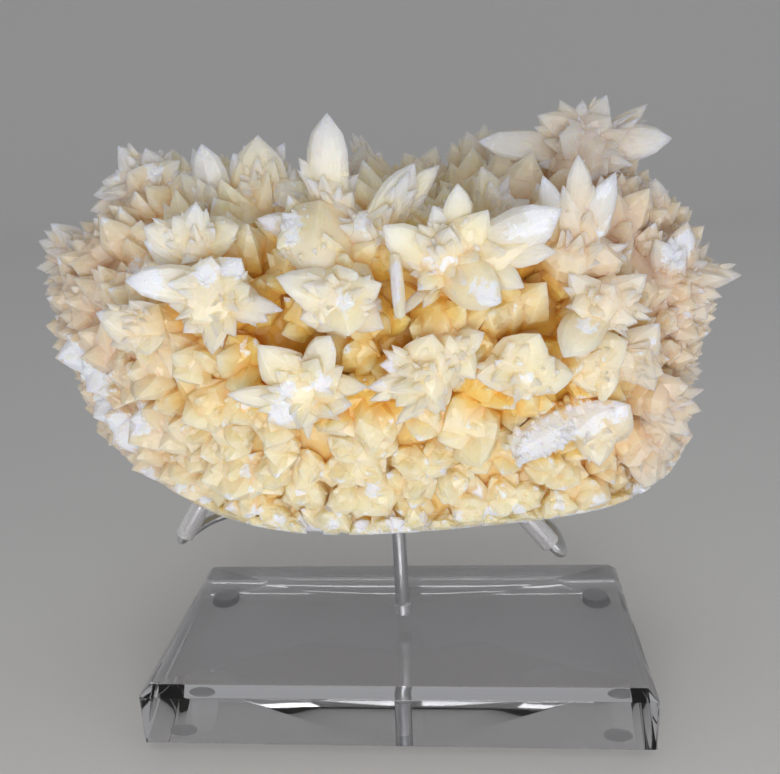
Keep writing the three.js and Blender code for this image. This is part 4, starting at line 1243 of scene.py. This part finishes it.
# The block is drilled for the post, and has a shallow recess over each bumper, where its sticky face makes
# the block look milky. Faces of the hole and of the recesses have materials of their own.
def acrylicPiece():
    bottom, top = block["bottom"], block["bottom"] + block["height"]
    bevel, edge = block["bevel"], block["edgeRadius"]
    slant = edge * 0.7
    rings = [roundedRectangle(inset, z) for inset, z in (
        (edge, bottom), (0, bottom + edge), (0, top - bevel - edge), (slant, top - bevel + slant),
        (bevel - slant, top - slant), (bevel + edge, top))]
    piece = ringPiece("acrylicBlock", np.stack(rings), smoothAngle=25)
    radius, floor = block["holeRadius"], top - block["holeDepth"]
    padRadius, padDepth = block["padRadius"], block["padDepth"]
    tools = [ringPiece("drill", turnedRings(((radius * 0.9, floor), (radius, floor + 0.3), (radius, top + 2)),
                                            (0, block["postY"])))]
    tools += [ringPiece("pad", turnedRings(((padRadius, bottom - 1), (padRadius, bottom + padDepth)), corner))
              for corner in bumperPlaces.values()]
    for tool in tools:
        addBoolean(piece, "DIFFERENCE", object=tool)
    cut = builtMesh(piece)
    piece.modifiers.clear()
    piece.data = cut
    for tool in tools:
        bpy.data.objects.remove(tool)
    cut.materials.clear()
    for material in (acrylic, drilled, pad):
        cut.materials.append(material)
    # Where a material takes over: the middle, the radius, from and to what height, and its number.
    spots = [((0, block["postY"]), radius, bottom + 1, top - 0.1, 1)]
    spots += [(corner, padRadius, bottom + padDepth / 2, bottom + 2 * padDepth, 2)
              for corner in bumperPlaces.values()]
    for face in cut.polygons:
        face.material_index = 0
        for (x, y), around, fromZ, toZ, index in spots:
            spot = toFrame((x, y, 0))
            away = math.hypot(face.center.x - spot[0], face.center.y - spot[1]) * 1000
            if away < around * 1.1 and fromZ < face.center.z * 1000 < toZ:
                face.material_index = index
    cut.set_sharp_from_angle(angle=math.radians(25))
    return piece


# A turned cylinder with a chamfer at both ends, on the post's axis.
def uprightPiece(name, radius, bottom, top):
    bite = uprightChamfer
    profile = ((radius - bite, bottom), (radius, bottom + bite), (radius, top - bite), (radius - bite, top))
    return ringPiece(name, turnedRings(profile, (0, block["postY"])))


# The finger is the arm's last, straight part: from the bend to the tip.
def fingerEnds(side):
    return np.array(armSetup["paths"][side][-1], float), np.array(armSetup["tips"][side], float)


# The arm's line: a centripetal Catmull-Rom curve through its points, then straight up the finger.
# On each span the curve is a cubic of share t with ends p1 and p2 and slopes m1 and m2,
# (2t3 - 3t2 + 1) p1 + (t3 - 2t2 + t) m1 + (3t2 - 2t3) p2 + (t3 - t2) m2.
def armLine(side):
    points = np.array(armSetup["paths"][side], float)
    points = np.concatenate([[2 * points[0] - points[1]], points, [2 * points[-1] - points[-2]]])
    line = []
    for p0, p1, p2, p3 in zip(points, points[1:], points[2:], points[3:]):
        d0, d1, d2 = (np.linalg.norm(b - a) ** 0.5 for a, b in ((p0, p1), (p1, p2), (p2, p3)))
        m1 = ((p1 - p0) / d0 - (p2 - p0) / (d0 + d1) + (p2 - p1) / d1) * d1
        m2 = ((p2 - p1) / d1 - (p3 - p1) / (d1 + d2) + (p3 - p2) / d2) * d1
        count = max(3, int(np.linalg.norm(p2 - p1) / armSetup["step"]))
        t = (np.arange(count) / count)[:, None]
        line.append((2 * t ** 3 - 3 * t ** 2 + 1) * p1 + (t ** 3 - 2 * t ** 2 + t) * m1
                    + (3 * t ** 2 - 2 * t ** 3) * p2 + (t ** 3 - t ** 2) * m2)
    bend, tip = fingerEnds(side)
    count = int(np.linalg.norm(tip - bend) / armSetup["step"])
    whole = np.concatenate(line + [bend + (tip - bend) * (np.arange(count + 1) / count)[:, None]])
    # The bend is softened by averaging each point near it with its neighbours.
    nearBend = np.exp(-(np.linalg.norm(whole - bend, axis=1) / (2 * armSetup["bendSoft"])) ** 2)
    for again in range(3):
        average = whole.copy()
        average[1:-1] = (whole[:-2] + whole[1:-1] + whole[2:]) / 3
        whole = whole + (average - whole) * nearBend[:, None]
    return whole


# Points of a circle of radius 1, square to the way, which start at the direction across.
def circleRound(way, across, sides):
    angle = circleAngles(sides)
    return np.outer(np.cos(angle), across) + np.outer(np.sin(angle), np.cross(way, across))


# Rings square to a line, each turned as little as possible from the one before.
def ringsAlong(line, radii, sides):
    ahead = unit(np.gradient(line, axis=0))
    across = unit(np.cross(ahead[0], [0.3, 0.2, 1.0]))
    rings = []
    for point, way, radius in zip(line, ahead, radii):
        across = unit(across - way * (across @ way))
        rings.append(point + radius * circleRound(way, across, sides))
    return np.array(rings)


# The rod of an arm, with both ends rounded by a quarter of a circle.
def armPiece(side):
    line = armLine(side)
    radius, roundness = armSetup["rodRadius"], armSetup["tipRound"]
    start, tip = line[0], line[-1]
    angle = np.linspace(0, math.pi / 2, 5)[1:]
    endLine = tip + np.outer(-roundness * (1 - np.sin(angle)), unit(tip - line[-2]))
    startLine = start + np.outer(roundness * (1 - np.sin(angle[::-1])), unit(line[1] - start))
    fromTip, fromStart = (np.linalg.norm(line - end, axis=1) for end in (tip, start))
    body = line[(fromTip > roundness) & (fromStart > roundness)]
    shrunk = radius - roundness * (1 - np.cos(angle))
    radii = np.concatenate([shrunk[::-1], np.full(len(body), radius), shrunk])
    rings = ringsAlong(np.concatenate([startLine, body, endLine]), radii, armSetup["sides"])
    return ringPiece("arm_" + side + "_rod", rings)


# A sleeve: its wall's outline, rounded at both ends, swept round the finger.
def sleevePiece(side):
    bend, tip = fingerEnds(side)
    start, end = (bend + (tip - bend) * share for share in armSetup["sleeveShare"][side])
    way, length = unit(end - start), np.linalg.norm(end - start)
    outer, inner, bite = armSetup["sleeveOuter"], armSetup["sleeveInner"], armSetup["sleeveRound"]
    corner = np.linspace(0, math.pi / 2, 4)
    outline = []
    for radius, height, towardsOut, towardsUp, turn in (
            (outer, length, -1, -1, corner), (inner, length, 1, -1, corner[::-1]),
            (inner, 0, 1, 1, corner), (outer, 0, -1, 1, corner[::-1])):
        outline.append(np.stack([radius + towardsOut * bite * (1 - np.cos(turn)),
                                 height + towardsUp * bite * (1 - np.sin(turn))], -1))
    outline = np.concatenate(outline)[::-1]
    circle = circleRound(way, unit(np.cross(way, [0.3, 0.2, 1.0])), armSetup["sleeveSides"])
    rings = start + outline[:, 1, None, None] * way + outline[:, 0, None, None] * circle
    return ringPiece("sleeve_" + side + "_tube", rings, looped=True)


# Clear plastics: colour, roughness, index of refraction, how clear, how far the roughness drifts where it
# has been handled, and the depth of its fine unevenness in metres.
clearLooks = {
    "clearAcrylic": ((0.955, 0.96, 1.0, 1), 0.012, 1.49, 1.0, 0.02, 0.0),
    "drilledAcrylic": ((0.93, 0.94, 0.97, 1), 0.45, 1.49, 1.0, 0.1, 0.0002),
    "bumperPad": ((0.97, 0.97, 1.0, 1), 0.6, 1.49, 0.85, 0.1, 0.0001),
    "softBumper": ((0.96, 0.96, 1.0, 1), 0.4, 1.48, 0.8, 0.12, 0.0001),
    "clearVinyl": ((0.95, 0.94, 0.96, 1), 0.14, 1.5, 0.8, 0.1, 0.0),
}
steelLook = {"colour": (0.66, 0.66, 0.68, 1), "bright": (0.78, 0.78, 0.8, 1), "roughness": 0.2,
             "linesPerTurnAndLength": (60.0, 0.25, 1.0)}


# Plain transmission; its roughness is the base plus the drift times a soft noise.
def clearMaterial(name):
    colour, roughness, ior, clear, drift, bumpDepth = clearLooks[name]
    material, tree, shader = newMaterial(name)
    place = objectPlace(tree)
    fill(shader, {
        "Roughness": spread(noise(place, 45.0, 4.0, 0.65), 0.45, 0.75, roughness, roughness + drift),
        "Base Color": colour,
        "IOR": ior,
        "Transmission Weight": clear,
    })
    if bumpDepth:
        fill(shader, {"Normal": bumped(noise(place, 700.0), 0.6, bumpDepth)})
    return material


# Polished rod: fine lines along it from drawing the wire, and a slow change in how dull it is.
def steelMaterial():
    material, tree, shader = newMaterial("polishedSteel")
    lines = noise(scaled(grainPlace(tree), steelLook["linesPerTurnAndLength"]), 1.0, 3.0, 0.6)
    dull = noise(objectPlace(tree), 120.0, 3.0)
    fill(shader, {
        "Base Color": mixed(lines, steelLook["colour"], steelLook["bright"]),
        "Roughness": plus(times(plus(lines, dull), 0.14), steelLook["roughness"] - 0.1),
        "Normal": bumped(lines, 0.15, 0.0001),
        "Metallic": 1.0,
    })
    return material


# A piece of the stand takes the place of its node in the solid model.
def finishStand(piece, nodeName, slotName, *materials):
    for material in materials:
        piece.data.materials.append(material)
    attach(piece, "root")
    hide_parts(nodeName)


acrylic, drilled, pad, soft, vinyl = (clearMaterial(name) for name in clearLooks)
steel = steelMaterial()
finishStand(acrylicPiece(), "acrylic_base", "acrylic")
for name, centre in bumperPlaces.items():
    profile = np.array(bumperSetup["profile"]) * (bumperSetup["radius"], bumperSetup["height"])
    bumper = ringPiece("bumper_%s_disc" % name, turnedRings(profile, centre))
    finishStand(bumper, "bumper_" + name, "clear_bumper", soft)
for name, measures in uprights.items():
    finishStand(uprightPiece(*measures), name, "steel", steel)
for side in armSetup["paths"]:
    finishStand(armPiece(side), "arm_" + side, "steel", steel)
    finishStand(sleevePiece(side), "sleeve_" + side, "clear_sleeve", vinyl)
print("the stand is built")

# Lights: place, the height aimed at, size and power. The floor bends up into a wall behind the object.
studio = {
    "floorColour": (0.8, 0.8, 0.8, 1),
    "floorRoughness": 0.75,
    "halfWidth": 3,
    "bendFrom": 1.2,
    "bendRadius": 0.8,
    "wallTop": 3.0,
    "skyPower": 0.34,
    "lights": {
        "keyLight": ((0.03, -0.44, 0.06), 0.1, 0.28, 1.5),
        "fillLight": ((0.8, -0.6, 0.3), 0.1, 0.5, 0.8),
        "topLight": ((0.05, 0.0, 0.95), 0.12, 0.5, 0.3),
    },
}


# The floor is a sheet that runs back and curves up into a backdrop: height is the radius times one
# minus the cosine of the angle, once past the bend.
def studioFloor():
    wide, bendFrom, radius = studio["halfWidth"], studio["bendFrom"], studio["bendRadius"]
    across = np.linspace(-wide, wide, 5)
    flat = np.stack([np.linspace(-wide, bendFrom, 8), np.zeros(8)], -1)
    angle = np.linspace(0, math.pi / 2, 16)[1:]
    bend = np.stack([bendFrom + radius * np.sin(angle), radius * (1 - np.cos(angle))], -1)
    profile = np.concatenate([flat, bend, [[bendFrom + radius, studio["wallTop"]]]])
    grid = np.stack([np.repeat(across[None], len(profile), 0), np.repeat(profile[:, :1], 5, 1),
                     np.repeat(profile[:, 1:], 5, 1)], -1)
    row, column = np.meshgrid(np.arange(len(profile) - 1), np.arange(4), indexing="ij")
    first = (row * 5 + column).ravel()
    faces = np.stack([first, first + 1, first + 6, first + 5], -1).tolist()
    floor = addPiece("studioFloor", grid.reshape(-1, 3), faces)
    shadeSmooth(floor.data, 180)
    material, tree, shader = newMaterial("studioFloorPaint")
    fill(shader, {"Base Color": studio["floorColour"], "Roughness": studio["floorRoughness"]})
    floor.data.materials.append(material)


studioFloor()
for name, (place, aimHeight, size, power) in studio["lights"].items():
    light = bpy.data.lights.new(name, "AREA")
    light.energy = power
    light.size = size
    lamp = addObject(name, light)
    lamp.location = place
    lamp.rotation_euler = (Vector((0, 0, aimHeight)) - Vector(place)).to_track_quat("-Z", "Y").to_euler()
world = bpy.data.worlds.new("studioSky")
world.use_nodes = True
fill(world.node_tree.nodes["Background"], {"Color": (1, 1, 1, 1), "Strength": studio["skyPower"]})
scene.world = world


# Its focal length is the sensor's width times lens pixels over the photograph's width.
def photoCamera():
    right, up, ahead = cameraAxes()
    data = bpy.data.cameras.new("photoCamera")
    data.sensor_fit = "HORIZONTAL"
    data.sensor_width = 36
    data.lens = data.sensor_width * cameraSetup["lensPixels"] / cameraSetup["photoWidth"]
    camera = addObject("photoCamera", data)
    turned = Matrix((right, up, -ahead)).transposed().to_4x4()
    camera.matrix_world = Matrix.Translation(toFrame(cameraSetup["place"])) @ turned
    scene.camera = camera


photoCamera()
print("camera and lights are in place")
